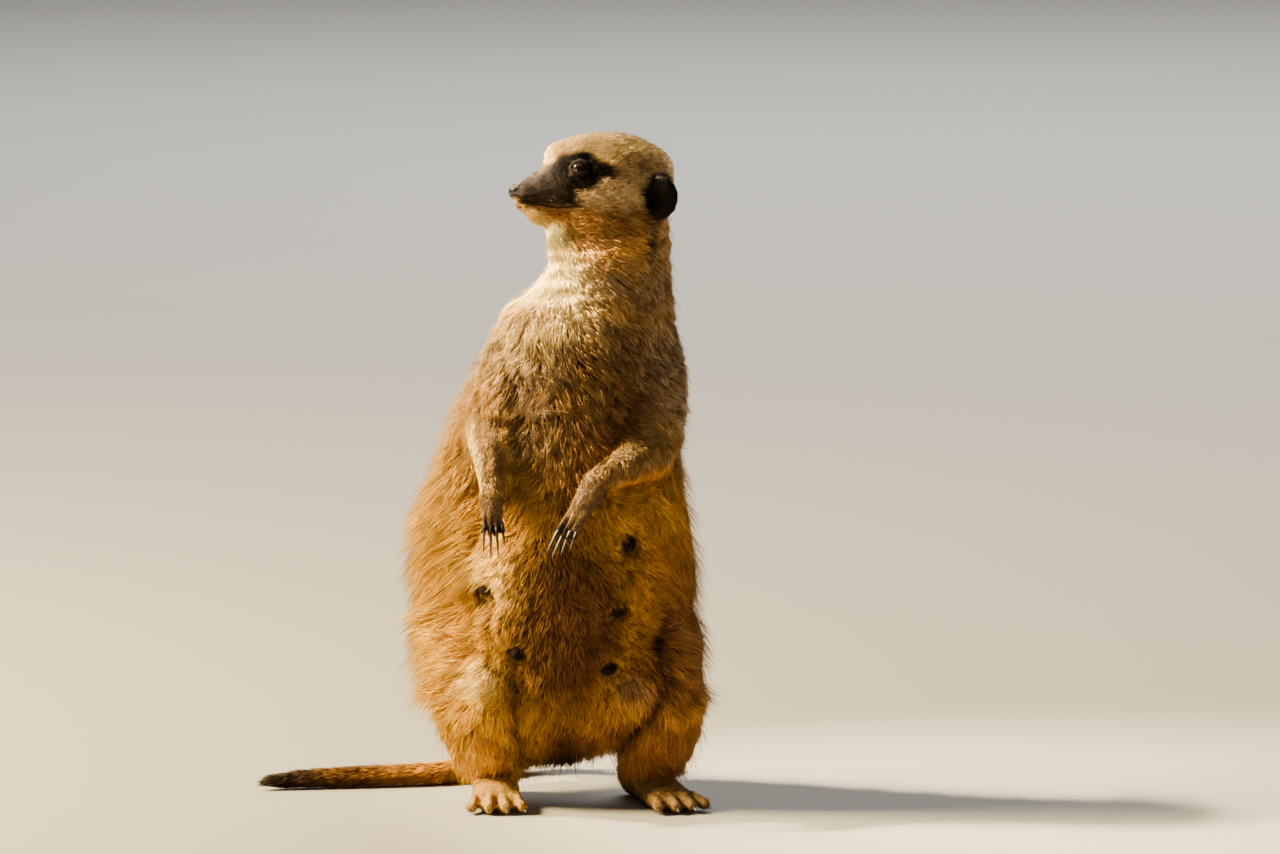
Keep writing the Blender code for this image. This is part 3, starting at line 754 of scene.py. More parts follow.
def shape_muzzle(points, normals):
    forward, sideways, upward = in_head(points).T
    above = upward - mouth_height(forward)
    along = ramp(forward, 1.5, 5.0) * (forward < 31)
    push = -0.85 * bump(above, 1.1) + 0.4 * bump(above - 1.9, 1.8) - 0.35 * bump(above + 1.9, 1.8)
    push *= along
    lip_split = bump(sideways, 0.7) * ramp(forward, 24, 27) * bump(above - 2.5, 3.5)
    push -= 0.7 * lip_split
    pad = bump(forward - 20, 8) * bump(above - 4.5, 4.0) * ramp(np.abs(sideways), 1, 4)
    push += 0.35 * pad
    middle = bump(sideways, 11.0)
    push -= 1.3 * middle * bump(np.hypot(forward - 16.0, upward - 1.0), 6.5)
    jaw = ramp(above, -0.8, -3.5) * ramp(forward, 8, 15) * ramp(upward, -30, -22)
    push += 1.9 * jaw
    brow = bump(sideways, 15.0) * bump(upward - 7.5, 7.0) * ramp(forward, 2, 10)
    tuck = ramp(forward, 17, 27) * ramp(above, -0.2, -2.5) * ramp(upward, -42, -30)
    ahead = 1.5 * brow - 2.9 * tuck
    return points + push[:, None] * normals + ahead[:, None] * HEAD_AXES[0]


points = reshaped(points, shape_muzzle)
print("mouth:", MOUTH_FRONT[0] - MOUTH_CORNER[0], "mm long")


# %% [markdown]
# The ear is a low rounded flap close to the head. Its outer face is hollowed in front of a rolled rim. A
# small ridge crosses the hollow, and a notch opens at its front.

# %% Ears
EAR_FLARE = math.radians(24)


def ear_frame(side):
    """The ear's middle, and the directions to its back rim, out of its face, and up."""
    sine, cosine = math.sin(EAR_FLARE), math.cos(EAR_FLARE)
    rim = np.array([-cosine, SIDES[side] * sine, 0]) @ HEAD_AXES
    out = np.array([sine, SIDES[side] * cosine, 0]) @ HEAD_AXES
    low, high = (np.array(corner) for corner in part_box(f"ear_{side}"))
    return (low + high) / 2 / MM, np.array([rim, out, UP])


def shape_ears(points, normals):
    for side in SIDES:
        middle, axes = ear_frame(side)
        local = (points - middle) @ axes.T
        back, out, high = local.T
        on_ear = spread((owner == f"ear_{side}").astype(float), 3)
        faces_out = ramp(normals @ axes[1], 0.0, 0.5)
        hollow = bump(np.hypot((back + 0.6) / 5.2, (high + 0.4) / 7.0), 1.0)
        ridge = bump(back + 1.2 - 0.25 * high, 1.0) * bump(high + 1.5, 4.5)
        notch = bump(np.hypot(back + 4.2, high + 2.2), 2.6)
        rim = bump(np.hypot(back / 7.0, high / 9.0) - 0.93, 0.22) * ramp(back, -4, 0)
        push = -2.0 * hollow + 0.9 * ridge - 1.1 * notch + 0.45 * rim
        points = points + (on_ear * faces_out * push)[:, None] * normals
    return points


points = reshaped(points, shape_ears)
print("points on the ears:", np.sum(KINDS == "ear"))


# %% [markdown]
# ## The body's small forms
# A nursing female's nipples show through the thin coat of the belly: the skin is pushed out round the
# places given above. Grooves part the belly from the legs, one knee stands forward, and soft folds cross
# the turned neck.

# %% Nipples, grooves and folds
GROOVES = [  # x, z along the folds between belly and legs
    [(15, 60), (14, 42), (18, 22)],
    [(75, 74), (79, 60), (76, 48), (66, 37), (60, 26), (58, 16)],
]
GROOVE_DEPTHS = (4.2, 3.0)
FOLD_SPACING = 6.5
NIPPLE_RADIUS = 3.4
KNEE_PLACE = (2.5, 63)  # x, z
KNEE_RADII = (11, 17)


def way_to_line(line):
    """Distance in x and z from a line of points, for each point of the skin."""
    place = points[:, [0, 2]]
    nearest = np.full(COUNT, 1e9)
    for start, end in zip(np.array(line, float), np.array(line[1:], float)):
        along = end - start
        share = np.clip((place - start) @ along / (along @ along), 0, 1)[:, None]
        nearest = np.minimum(nearest, np.linalg.norm(place - start - share * along, axis=1))
    return nearest


def neck_wave(upward, forward):
    """A wave down the neck between -1 and 1, for the folds of its skin."""
    return np.sin(upward * 2 * math.pi / FOLD_SPACING + 0.10 * forward)


def front_of_legs(points):
    """1 on the front of the body, and below the belly a little further back, and 0 behind."""
    return ramp(points[:, 1] + 16 * ramp(points[:, 2], 30, 50), 8, -4)


def shape_body(points, normals):
    push = np.zeros(COUNT)
    for line, amount in zip(GROOVES, GROOVE_DEPTHS):
        push -= amount * bump(way_to_line(line), 8.0) * front_of_legs(points)
    push += 3.2 * bump(nipple_reach, NIPPLE_RADIUS) ** 0.7 + 1.4 * bump(nipple_reach, 8.0)
    knee = np.hypot(*((points[:, [0, 2]] - KNEE_PLACE) / KNEE_RADII).T)
    push += 3.2 * bump(knee, 1.0) * ramp(points[:, 1], -10, -25)
    on_neck = part_share("neck") * ramp(upward, -72, -60) * ramp(upward, -18, -26)
    push += 0.4 * neck_wave(upward, forward) * on_neck * ramp(sideways, -4, 8)
    return points + push[:, None] * normals


nipple_reach = near_nipples(points)
points = reshaped(points, shape_body)
print("points on nipples:", np.sum(nipple_reach < NIPPLE_RADIUS))


# %% [markdown]
# Each hand has four fingers side by side and each foot four toes. Grooves run between them from the claws
# backwards, and the hand narrows towards its fingers.

# %% Fingers and toes
def claws_of(kind, side):
    """The middles of a hand's or foot's claws, in order, in millimetres."""
    names = [f"claw_{kind}_{side}_{i}" for i in (1, 2, 3, 4)]
    return np.array([mesh_points(NODES[name].data).mean(axis=0) for name in names])


def way_to(targets, places):
    """Distance of each place from the nearest target."""
    return np.min(np.linalg.norm(places[:, None] - targets, axis=2), axis=1)


def narrowed(places, kind, side):
    """The places drawn in towards the middle line of the hand, more so nearer its claws."""
    claws = claws_of(kind, side)
    across = unit(claws[3] - claws[0])
    offset = (places - claws.mean(axis=0)) @ across
    near = ramp(way_to(claws, places), 30, 12)
    return places - (0.24 * near * offset)[:, None] * across


def shape_digits(points, normals):
    for kind, groove in (("hand", 1.3), ("foot", 1.1)):
        for side in SIDES:
            claws = claws_of(kind, side)
            across = unit(claws[3] - claws[0])
            spacing = np.linalg.norm(claws[3] - claws[0]) / 3
            phase = (points - claws[0]) @ across / spacing
            between = 0.5 - 0.5 * np.cos(2 * math.pi * phase)
            part = spread((owner == f"{kind}_{side}").astype(float), 3)
            deep = groove * ramp(way_to(claws, points), 16, 8) * (phase > -0.1) * (phase < 3.1)
            points = points - (part * deep * between**2)[:, None] * normals
            if kind == "hand":
                moved = narrowed(points, kind, side)
                points = points + part[:, None] * (moved - points)
    return points


points = reshaped(points, shape_digits)
store_points(skin.data, points)
normals = point_normals(skin.data)
print("digits shaped from", len(CLAWS), "claws")


# %% [markdown]
# ## Markings
# A few named colours, each laid over the ones before it through a soft mask, give the markings. Some of them
# are painted light and shade: the side towards the sun is painted brighter, and the side away from it, the
# middle of the chest, the grooves, folds and hollows and the places between the legs are painted darker.
# Every point of the skin gets three colours: the hair's root, its middle and its tip. The skin itself takes a
# colour between those of the root and the middle, so skin and coat always agree.

# %% Colours
GOLD = (0.82, 0.40, 0.008)
PALE_GOLD = (0.95, 0.62, 0.20)
GRIZZLE = (0.078, 0.040, 0.016)
GRIZZLE_TIP = (0.66, 0.45, 0.22)
ASH_TIP = (0.56, 0.43, 0.30)
# Painted shade: darker tips for the middle of the chest, between the arms.
CHEST_SHADE_TIP = (0.27, 0.16, 0.068)
DARK_BROWN = (0.055, 0.028, 0.012)
BACK_BROWN = (0.19, 0.11, 0.045)
CREAM = (1.0, 0.73, 0.30)
BLACK = (0.010, 0.008, 0.007)
MUZZLE = (0.012, 0.0075, 0.005)
MUZZLE_TOP = (0.012, 0.009, 0.008)
BRIDGE = (0.075, 0.052, 0.038)
CHEEK = (0.70, 0.45, 0.24)
JAW = (0.30, 0.12, 0.02)
CROWN = (0.48, 0.28, 0.10)
CROWN_TIP = (0.98, 0.63, 0.23)
NECK = (0.62, 0.31, 0.055)
FOREARM = (0.25, 0.155, 0.065)
UNDERARM = (0.66, 0.25, 0.025)
HAND = (0.20, 0.12, 0.055)
FINGER = (0.035, 0.022, 0.016)
FOOT = (0.46, 0.26, 0.055)
LEG = (0.76, 0.35, 0.008)
# Painted shade: a darker amber that stands for the gold coat where it lies away from the sun.
SHADE_AMBER = (0.34, 0.145, 0.045)
BELLY = (0.125, 0.055, 0.018)
# Painted light: paler tips for the coat on the side towards the sun.
SUNLIT_STRAW = (0.96, 0.53, 0.010)
BARE_SKIN = (0.21, 0.12, 0.065)
KNEE = (1.0, 0.58, 0.13)
CHIN = (0.85, 0.46, 0.12)
NIPPLE = (0.016, 0.009, 0.008)
TAIL = (0.44, 0.19, 0.014)
TAIL_BROWN = (0.10, 0.042, 0.008)


class Paint:
    """One colour, or a colour for every point, with more colours laid over it through masks."""

    def __init__(self, colour):
        self.colours = np.ones((COUNT, 1)) * np.array(colour)

    def lay(self, colour, mask):
        mask = np.clip(mask, 0, 1)[:, None]
        self.colours = self.colours * (1 - mask) + np.array(colour) * mask


def waves(points, size, seed):
    """Smooth noise between about -1 and 1, whose features are this many millimetres across."""
    rng = np.random.default_rng(seed)
    total = np.zeros(len(points))
    for _ in range(10):
        direction = rng.normal(size=3)
        direction *= rng.uniform(0.7, 1.5) * math.pi / size / np.linalg.norm(direction)
        total += np.sin(points @ direction + rng.uniform(0, 2 * math.pi))
    return total / 3.2


x, y, z = points.T
forward, sideways, upward = in_head(points).T
side_of_head = np.abs(sideways)
mottle = waves(points, 9, 1)
blotch = waves(points, 26, 2)

# Masks of the body.
way_to_claws = way_to(np.concatenate([claws_of("hand", side) for side in SIDES]), points)
on_trunk = part_share("trunk", "thigh", "upper_arm")
on_neck = part_share("neck")
on_arm = part_share("forearm")
on_hand = part_share("hand")
on_foot = part_share("foot", rounds=8)
on_tail = part_share("tail_root", "tail_middle", "tail_end")
on_ear = part_share("ear", rounds=4)
on_face = part_share("head", "nose_pad", "ear", rounds=6)
behind = ramp(y, 6, 32) * (1 - 0.85 * shaggy)
bands = 0.5 + 0.5 * np.sin(z * 2 * math.pi / 15.0 + 0.35 * blotch)



def trunk_oval(middle, radii):
    return on_trunk * oval(points, middle, radii)


body = Paint(GOLD)
body.lay(GRIZZLE, on_trunk * ramp(z, 118, 175) * (0.95 + 0.05 * mottle))
# Painted light and shade: the side towards the sun keeps its bright gold higher up, and the side away from it
# is painted a darker amber.
body.lay(GOLD, on_trunk * ramp(x, 16, -8) * ramp(z, 215, 180) * 0.85)
body.lay(SHADE_AMBER, on_trunk * ramp(x, 52, 80) * ramp(z, 150, 110) * 0.9)
body.lay(BACK_BROWN, on_trunk * behind * 0.9)
body.lay(DARK_BROWN, on_trunk * behind * bands**2 * ramp(z, 232, 205) * ramp(z, 50, 80) * 0.75)
body.lay(GRIZZLE, on_trunk * ramp(x, 78, 96) * 0.5)
body.lay(BELLY, trunk_oval((36, -50, 88), (50, 44, 80)) * 1.5)
# Painted shade: the middle of the chest, between the arms, is darker.
body.lay(BELLY, trunk_oval((44, -50, 160), (36, 40, 44)) * 0.9)
body.lay(PALE_GOLD, trunk_oval((6, -44, 108), (17, 24, 24)) * 0.5)
body.lay(BARE_SKIN, trunk_oval((66, -40, 57), (16, 24, 13)) * 0.9)
body.lay(DARK_BROWN, trunk_oval((75, -36, 80), (7, 14, 7)) * 0.8)
body.lay(LEG, part_share("lower_leg") * 0.9)
# Painted shade: the lower leg on the side away from the sun is darker amber.
body.lay(SHADE_AMBER, part_share("lower_leg") * ramp(x, 30, 45) * 0.9)
# Painted shade along the grooves between the belly and the legs.
groove_shade = np.max([bump(way_to_line(line), 7.0) for line in GROOVES], axis=0)
groove_shade *= LOWER_BODY * front_of_legs(points)
# Painted shade: the low belly between the legs is darker amber.
body.lay(SHADE_AMBER, trunk_oval((44, -30, 32), (32, 50, 24)) * 1.2)
body.lay(DARK_BROWN, groove_shade)
knee_patch = trunk_oval((3.5, -40, 62), (10, 28, 14)) * 1.2
body.lay(KNEE, knee_patch)
# Painted shade between the legs, under the belly.
body.lay(DARK_BROWN, trunk_oval((37, -30, 24), (18, 40, 26)) * 1.2)
body.lay(NECK, on_neck * 0.85)
# Painted shade in the troughs of the neck's folds.
folds = 0.5 - 0.5 * neck_wave(upward, forward)
body.lay(DARK_BROWN, on_neck * folds**2 * ramp(upward, -18, -26) * ramp(upward, -72, -60) * 0.45)
body.lay(GRIZZLE, on_neck * ramp(z, 250, 234) * 0.88)
body.lay(BACK_BROWN, on_neck * ramp(forward, -24, -34) * 0.6)
throat_half = np.clip(6 - 0.45 * (upward + 19), 5, 22)
under_chin = ramp(side_of_head - throat_half, 2.5, -2.5) * ramp(forward, -4, 3) * ramp(upward, -17.5, -20)
throat = on_neck * under_chin * ramp(upward, -74, -46)
throat += trunk_oval((36, -18, 226), (18, 24, 20)) * 1.2
throat += trunk_oval((22, -24, 212), (14, 22, 18)) * 0.5
throat = spread(np.clip(throat, 0, 1), 10)
glow = on_neck * ramp(side_of_head - throat_half, 10, 0) * ramp(forward, -12, -2) * ramp(upward, -18, -24)
body.lay(PALE_GOLD, glow * ramp(upward, -74, -46) * 0.3)
body.lay(CREAM, throat * (1 - 0.6 * on_trunk))
body.lay(PALE_GOLD, trunk_oval((4, -18, 218), (22, 22, 18)) * 0.6)
body.lay(FOREARM, on_arm * 0.95)
body.lay(UNDERARM, on_arm * ramp(normals[:, 2], -0.05, -0.5) * 0.95)
# Painted light: the outer side of the arm, which faces the sun, is paler gold.
body.lay(PALE_GOLD, on_arm * ramp(x, 12, 0) * ramp(normals[:, 0], -0.25, -0.9) * 0.8)
body.lay(HAND, on_hand)
body.lay(FINGER, on_hand * ramp(way_to_claws, 11, 5.5))
body.lay(LEG, on_foot * 0.7)
body.lay(FOOT, on_foot * ramp(z, 20, 9))
# Painted shade: the foot that stands in the body's shadow is darker.
body.lay(BACK_BROWN, on_foot * ramp(x, 50, 70) * 0.8)
body.lay(TAIL, on_tail)
body.lay(TAIL_BROWN, on_tail * ramp(x, -12, -60))
body.lay(BLACK, on_tail * ramp(x, -58, -90) * 0.9)

# Markings of the head, in its own frame.
body.lay(CROWN, on_face)
body.lay(CHEEK, on_face * ramp(upward, 2, -4) * ramp(forward, 18, 6) * (0.8 + 0.2 * waves(points, 4, 7)))
body.lay(JAW, on_face * ramp(upward, -15, -20) * ramp(forward, 24, 12))
brow_line = 7.5 - 0.47 * forward
dark_front = on_face * ramp(forward, 0, 5) * ramp(upward - brow_line, 1.4, -1.4) * ramp(upward, -19, -15)
body.lay(MUZZLE, dark_front)
body.lay(MUZZLE_TOP, dark_front * ramp(upward, -9, -4))
bridge = ramp(side_of_head, 7.5, 2.5) * ramp(forward, 24, 15)
body.lay(BRIDGE, dark_front * bridge)
body.lay(CREAM, on_face * under_chin)
body.lay(CHIN, on_face * under_chin * ramp(upward, -26.5, -22))
band_middle = 1.2 + 0.17 * forward + 0.5 * mottle
band_half = np.where(forward > 0, 5.6 - 0.16 * forward, 5.6 + 0.22 * forward)
band = ramp(np.abs(upward - band_middle) - band_half, 1.3, -1.3)
band *= ramp(forward, -17, -11) * ramp(forward, 20, 11) * ramp(side_of_head, 6.5, 9.5)
lobe = ramp(np.hypot((forward - 0.3) / 6.6, (upward + 3.0) / 6.4), 1.2, 0.85) * ramp(side_of_head, 7, 9.5)
eye_patch = on_face * np.maximum(band, lobe)
eye_patch = np.maximum(eye_patch, on_face * ramp(way_to_eye, 7.6, 6.4))
body.lay(BLACK, eye_patch)
mouth_gap = upward - mouth_height(forward)
body.lay(MUZZLE_TOP, on_face * bump(mouth_gap, 1.0) * ramp(forward, -4, 3) * (forward < 30) * 0.9)
body.lay(BLACK, on_face * ramp(forward, 24.0, 26.5) * ramp(upward, -14.5, -12))
body.lay(PALE_GOLD, on_face * bump(np.hypot(forward - 28, upward + 15.0), 2.6) * 0.5)
streak = bump(forward + 29 + 0.1 * (upward + 20), 4.5) * ramp(upward, -14, -20) * ramp(upward, -48, -36)
body.lay(DARK_BROWN, (on_neck + on_face) * streak * (side_of_head > 10) * 1.4)
wrinkle = bump(upward + 20 - 0.3 * (forward + 8), 1.3) * bump(forward + 9, 6) * ramp(side_of_head, 6, 9)
body.lay(DARK_BROWN, on_face * wrinkle * 0.7)
round_ear = ramp(np.hypot((forward + 34) / 9.0, (upward + 12.5) / 10.5), 1.12, 0.92) * (side_of_head > 8)
on_ear = np.maximum(on_ear, on_face * round_ear)
body.lay(BLACK, on_ear)
body.lay(NIPPLE, on_trunk * ramp(nipple_reach, 5.2, NIPPLE_RADIUS))
# Painted shade: the skin and coat in hollows and creases are darker.
body.lay(DARK_BROWN, crease * 0.7)
middle_colour = body.colours.copy()

# The hair's tips. Pale ones make the grizzled look.
tips = Paint(middle_colour * 1.5)
# Painted light: pale straw tips only on the lower body's side towards the sun.
tips.lay(SUNLIT_STRAW, LOWER_BODY * ramp(x, 40, -5) * 0.85)
# Painted shade: the tips along the grooves are darker amber.
tips.lay(SHADE_AMBER, groove_shade)
tips.lay(PALE_GOLD, knee_patch)
tips.lay(GRIZZLE_TIP, on_trunk * ramp(z, 125, 170) * 0.9)
# Painted shade: darker tips over the middle of the chest.
tips.lay(CHEST_SHADE_TIP, trunk_oval((50, -42, 180), (48, 52, 70)) * 1.6)
tips.lay(GRIZZLE_TIP, on_neck * 0.5)
tips.lay(ASH_TIP, on_trunk * ramp(x, 60, 80) * ramp(z, 150, 175) * 0.7)
tips.lay(ASH_TIP, on_neck * ramp(z, 256, 236) * ramp(x, 24, 44) * 0.7)
light_face = on_face * ramp(dark_front, 0.4, 0.0)
tips.lay(CROWN_TIP, light_face * ramp(upward, 0, 6) * 0.9)
tips.lay(CROWN_TIP, light_face * ramp(upward, 2, -4) * ramp(forward, 12, 4) * 0.5)
tips.lay(CREAM, throat)
tips.lay(BLACK, np.maximum(eye_patch, on_ear))
tips.lay(NIPPLE, on_trunk * ramp(nipple_reach, 5.2, NIPPLE_RADIUS))
tips.lay(np.array(MUZZLE) * 1.6, dark_front * (1 - eye_patch))
tips.lay(np.array(BRIDGE) * 1.6, dark_front * (1 - eye_patch) * bridge)
tips.lay(np.array(HAND) * 1.3, on_hand * ramp(way_to_claws, 6, 12))
tip_colour = tips.colours
darkening = 0.26 + 0.5 * np.clip(0.4 * velvet + on_foot + on_hand + throat, 0, 1) + 0.1 * belly
root_colour = middle_colour * darkening[:, None]
print("three colours stored for", COUNT, "points")


# %% [markdown]
# The skin is unwrapped on its own shape, and the tufts take their places in that unwrap from it later. The
# colours go into a colour attribute that the material reads.

# %% Unwrap and colour the skin
def store_colours(mesh, name, colours):
    layer = mesh.color_attributes.new(name, "FLOAT_COLOR", "POINT")
    flat = np.concatenate([np.clip(colours, 0, 1), np.ones((len(colours), 1))], axis=1)
    layer.data.foreach_set("color", flat.ravel())


def unwrap(obj):
    obj.data.uv_layers.new(name="OFBake")
    bpy.context.view_layer.objects.active = obj
    obj.select_set(True)
    bpy.ops.object.mode_set(mode="EDIT")
    bpy.ops.mesh.select_all(action="SELECT")
    bpy.ops.uv.smart_project(angle_limit=math.radians(66), island_margin=0.002)
    bpy.ops.object.mode_set(mode="OBJECT")
    obj.select_set(False)


unwrap(skin)
store_colours(skin.data, "markings", middle_colour * (0.5 + 0.5 * darkening[:, None]))
skin.data.shade_smooth()


def marked_material(name, roughness, specular, grain_scale, darkest, lightest):
    """The piece's own markings, speckled by a fine grain. Gives the grain's node too."""
    made = Recipe(name, GOLD, roughness, specular)
    grain = made.placed("TexNoise", {"Scale": grain_scale, "Detail": 2})
    shade = made.add("MapRange", {"To Min": darkest, "To Max": lightest})
    made.join(grain, "Fac", shade, "Value")
    speckled = made.add("VectorMath", operation="SCALE")
    made.join(made.add("Attribute", attribute_name="markings"), "Color", speckled, 0)
    made.join(shade, "Result", speckled, "Scale")
    made.join(speckled, "Vector", made.shader, "Base Color")
    return made, grain


skin_recipe, grain = marked_material("skin", 0.8, 0.04, 1600, 0.55, 1.35)
skin_recipe.relief_by(grain, "Fac", 0.35, 0.0004)
skin.data.materials.clear()
skin.data.materials.append(skin_recipe.material)
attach(skin, "root")
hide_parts(*[name for name in FLESH if name != "nose_pad"])
print("skin unwrapped and coloured:", len(skin.data.polygons), "faces")


# %% [markdown]
# ## Eyes
# Each eye is a glossy ball, nearly black, with a slightly raised front. The pattern of pupil and iris
# follows the distance from the line of sight, which a Mapping node measures in the eye's own frame.

# %% Eyeballs
IRIS = (0.008, 0.005, 0.004)
EYE_RINGS = (  # from the line of sight outwards: pupil, iris, its rim, and the part under the lids
    (0.0, (0.002, 0.002, 0.002)),
    (0.26, (0.002, 0.002, 0.002)),
    (0.30, IRIS),
    (0.56, (0.011, 0.006, 0.004)),
    (0.68, (0.006, 0.004, 0.003)),
    (1.0, (0.008, 0.006, 0.005)),
)
CORNEA_RISE = 0.28  # mm


def gaze_of(side):
    return Vector(gaze_in_head(side) @ HEAD_AXES)


def eye_material(side):
    radius = EYE_RADIUS * MM
    made = Recipe(f"eye_{side}", IRIS, 0.10, 0.10)
    turn = gaze_of(side).to_track_quat("Z", "Y").to_euler()
    own_frame = {"Location": EYE_PLACES[side], "Rotation": turn, "Scale": (radius * 1.25, radius, radius)}
    place = made.placed("Mapping", own_frame, vector_type="TEXTURE")
    flat = made.add("VectorMath", {1: (1, 1, 0)}, operation="MULTIPLY")
    made.join(place, "Vector", flat, 0)
    reach = made.add("VectorMath", operation="LENGTH")
    made.join(flat, "Vector", reach, 0)
    made.colour_by(reach, "Value", EYE_RINGS)
    return made.material


def eyeball(side):
    shape = bmesh.new()
    bmesh.ops.create_uvsphere(shape, u_segments=48, v_segments=32, radius=EYE_RADIUS)
    for vert in shape.verts:
        off_axis = math.acos(max(-1, min(1, vert.co.normalized().z)))
        vert.co *= 1 + CORNEA_RISE / EYE_RADIUS * max(0.0, math.cos(1.6 * min(off_axis, 0.98))) ** 1.5
    turn = gaze_of(side).to_track_quat("Z", "Y").to_matrix().to_4x4()
    shape.transform(Matrix.Translation(EYE_PLACES[side]) @ turn @ Matrix.Scale(MM, 4))
    made = add_object(f"eyeball_{side}", finished_mesh(f"eyeball_{side}", shape))
    made.data.shade_smooth()
    made.data.materials.append(eye_material(side))
    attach(made, "root")
    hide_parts(f"eye_{side}")


for side in SIDES:
    eyeball(side)
print("two eyeballs of", round(2 * EYE_RADIUS, 1), "mm")


# %% [markdown]
# ## Nose
# The nose is a moist pad of bare black leather with two comma-shaped nostrils and a groove down its
# middle. It starts as a ball, and each feature is a push along its normals that depends on the direction
# from the middle.

# %% Nose pad
NOSE_RADII = (3.9, 4.0, 4.0)  # forward, sideways, up


def nose_shape():
    low, high = (np.array(corner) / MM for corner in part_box("nose_pad"))
    middle = in_head((low + high)[None, :] / 2)[0] + np.array([-1.6, 0, 0.1])
    shape = bmesh.new()
    bmesh.ops.create_icosphere(shape, subdivisions=5, radius=1.0)
    for vert in shape.verts:
        ahead, side, up = vert.co
        out = abs(side)
        nostril = math.hypot((out - 0.50) / 0.24, (up + 0.02) / 0.22)
        slit = math.hypot((out - 0.80) / 0.24, (up + 0.16) / 0.12)
        pit = max(0.0, 1 - nostril**2) ** 0.7 + 0.7 * max(0.0, 1 - slit**2)
        below_bridge = math.exp(-((max(0.0, up - 0.35) / 0.2) ** 2))
        groove = math.exp(-((side / 0.07) ** 2)) * below_bridge
        wing = math.exp(-(((out - 0.72) / 0.2) ** 2) - ((up - 0.25) / 0.25) ** 2)
        front = max(0.0, min(1.0, 2.2 * ahead))
        push = front * (-0.42 * min(pit, 1.0) - 0.12 * groove + 0.10 * wing)
        scale = 1 + push - 0.22 * max(0.0, up - 0.45)
        vert.co = [way * radius * scale for way, radius in zip((ahead, side, up), NOSE_RADII)]
        vert.co.y *= 1 - 0.16 * max(0.0, -up)
    to_world = Matrix([[axis[i] for axis in HEAD_AXES] for i in range(3)]).to_4x4()
    place = Matrix.Translation(from_head(*middle))
    shape.transform(place @ to_world @ Matrix.Scale(MM, 4))
    bmesh.ops.recalc_face_normals(shape, faces=shape.faces)
    return finished_mesh("nose_leather", shape)


def nose_material():
    """Near-black moist leather with a pebbled grain."""
    made = Recipe("nose_leather", (0.008, 0.006, 0.006), 0.6, 0.15)
    pebbles = made.placed("TexVoronoi", {"Scale": 2400})
    made.colour_by(pebbles, "Distance", ((0.0, (0.013, 0.010, 0.009)), (1.0, (0.004, 0.003, 0.003))))
    made.relief_by(pebbles, "Distance", 0.5, 0.0002, invert=True)
    return made.material


nose = add_object("nose_leather", nose_shape())
nose.data.shade_smooth()
nose.data.materials.append(nose_material())
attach(nose, "root")
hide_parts("nose_pad")
print("nose pad:", len(nose.data.polygons), "faces")


# %% [markdown]
# ## Claws
# The claws of the hands are long, for digging, and those of the feet are short. Each new claw follows the
# curve of its CAD solid: its root, its middle and its tip are read from the solid's points. It starts a
# little inside the finger, so that no gap opens under the coat.

# %% Claws
CLAW_RINGS = 9
CLAW_SIDES = 12
# How long each claw of the hands looks, as a share of its solid.
CLAW_SHARE = {"right": (0.85, 1.0, 0.95, 0.6), "left": (1.0, 1.0, 0.75, 0.55)}


def claw_shape(name, girth):
    places = np.array(claw_curve(name))
    if "hand" in name:
        kind, side, number = name.split("_")[1:]
        places = narrowed(places, kind, side)
        places = places[0] + (places - places[0]) * CLAW_SHARE[side][int(number) - 1]
    root, middle, tip = (Vector(place) for place in places)
    start = root - 1.8 * (middle - root).normalized()
    across = (tip - root).cross(Vector((0, -1, 0.2)) if "hand" in name else UP).normalized()
    shape = bmesh.new()
    loops = []
    for i in range(CLAW_RINGS):
        t = i / (CLAW_RINGS - 1)
        centre = (1 - t) ** 2 * start + 2 * t * (1 - t) * middle + t * t * tip
        heading = (2 * (1 - t) * (middle - start) + 2 * t * (tip - middle)).normalized()
        tall = heading.cross(across).normalized()
        thick = girth * (1 - t**1.8) ** 0.8 + 0.10
        size = Matrix((across * thick * 0.72, tall * thick, heading)).transposed().to_4x4()
        matrix = Matrix.Translation(centre) @ size
        ring = bmesh.ops.create_circle(shape, segments=CLAW_SIDES, radius=1, matrix=matrix)
        loops.append(list(dict.fromkeys(edge for vert in ring["verts"] for edge in vert.link_edges)))
    for lower, upper in zip(loops, loops[1:]):
        bmesh.ops.bridge_loops(shape, edges=lower + upper)
    for end in (loops[0], loops[-1]):
        bmesh.ops.edgeloop_fill(shape, edges=end)
    bmesh.ops.recalc_face_normals(shape, faces=shape.faces)
    shape.transform(Matrix.Scale(MM, 4))
    return finished_mesh(name.replace("claw", "nail"), shape)


def horn_material(name, colour, streak):
    """Polished horn with streaks along the claw."""
    made = Recipe(name, colour, 0.38)
    fill(made.shader, {"Coat Weight": 0.12, "Coat Roughness": 0.15})
    stretched = made.placed("Mapping", {"Scale": (1, 0.6, 0.18)})
    grain = made.add("TexNoise", {"Scale": 2200})
    made.join(stretched, "Vector", grain, "Vector")
    made.colour_by(grain, "Fac", ((0.35, colour), (0.7, streak)))
    return made.material


dark_horn = horn_material("dark_horn", (0.020, 0.014, 0.012), (0.07, 0.05, 0.04))
pale_horn = horn_material("pale_horn", (0.06, 0.040, 0.026), (0.12, 0.085, 0.055))
for name in CLAWS:
    girth, horn = (1.0, dark_horn) if "hand" in name else (0.65, pale_horn)
    claw = add_object(name.replace("claw", "nail"), claw_shape(name, girth))
    claw.data.shade_smooth()
    claw.data.materials.append(horn)
    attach(claw, "root")
    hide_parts(name)
print("sixteen claws modelled")


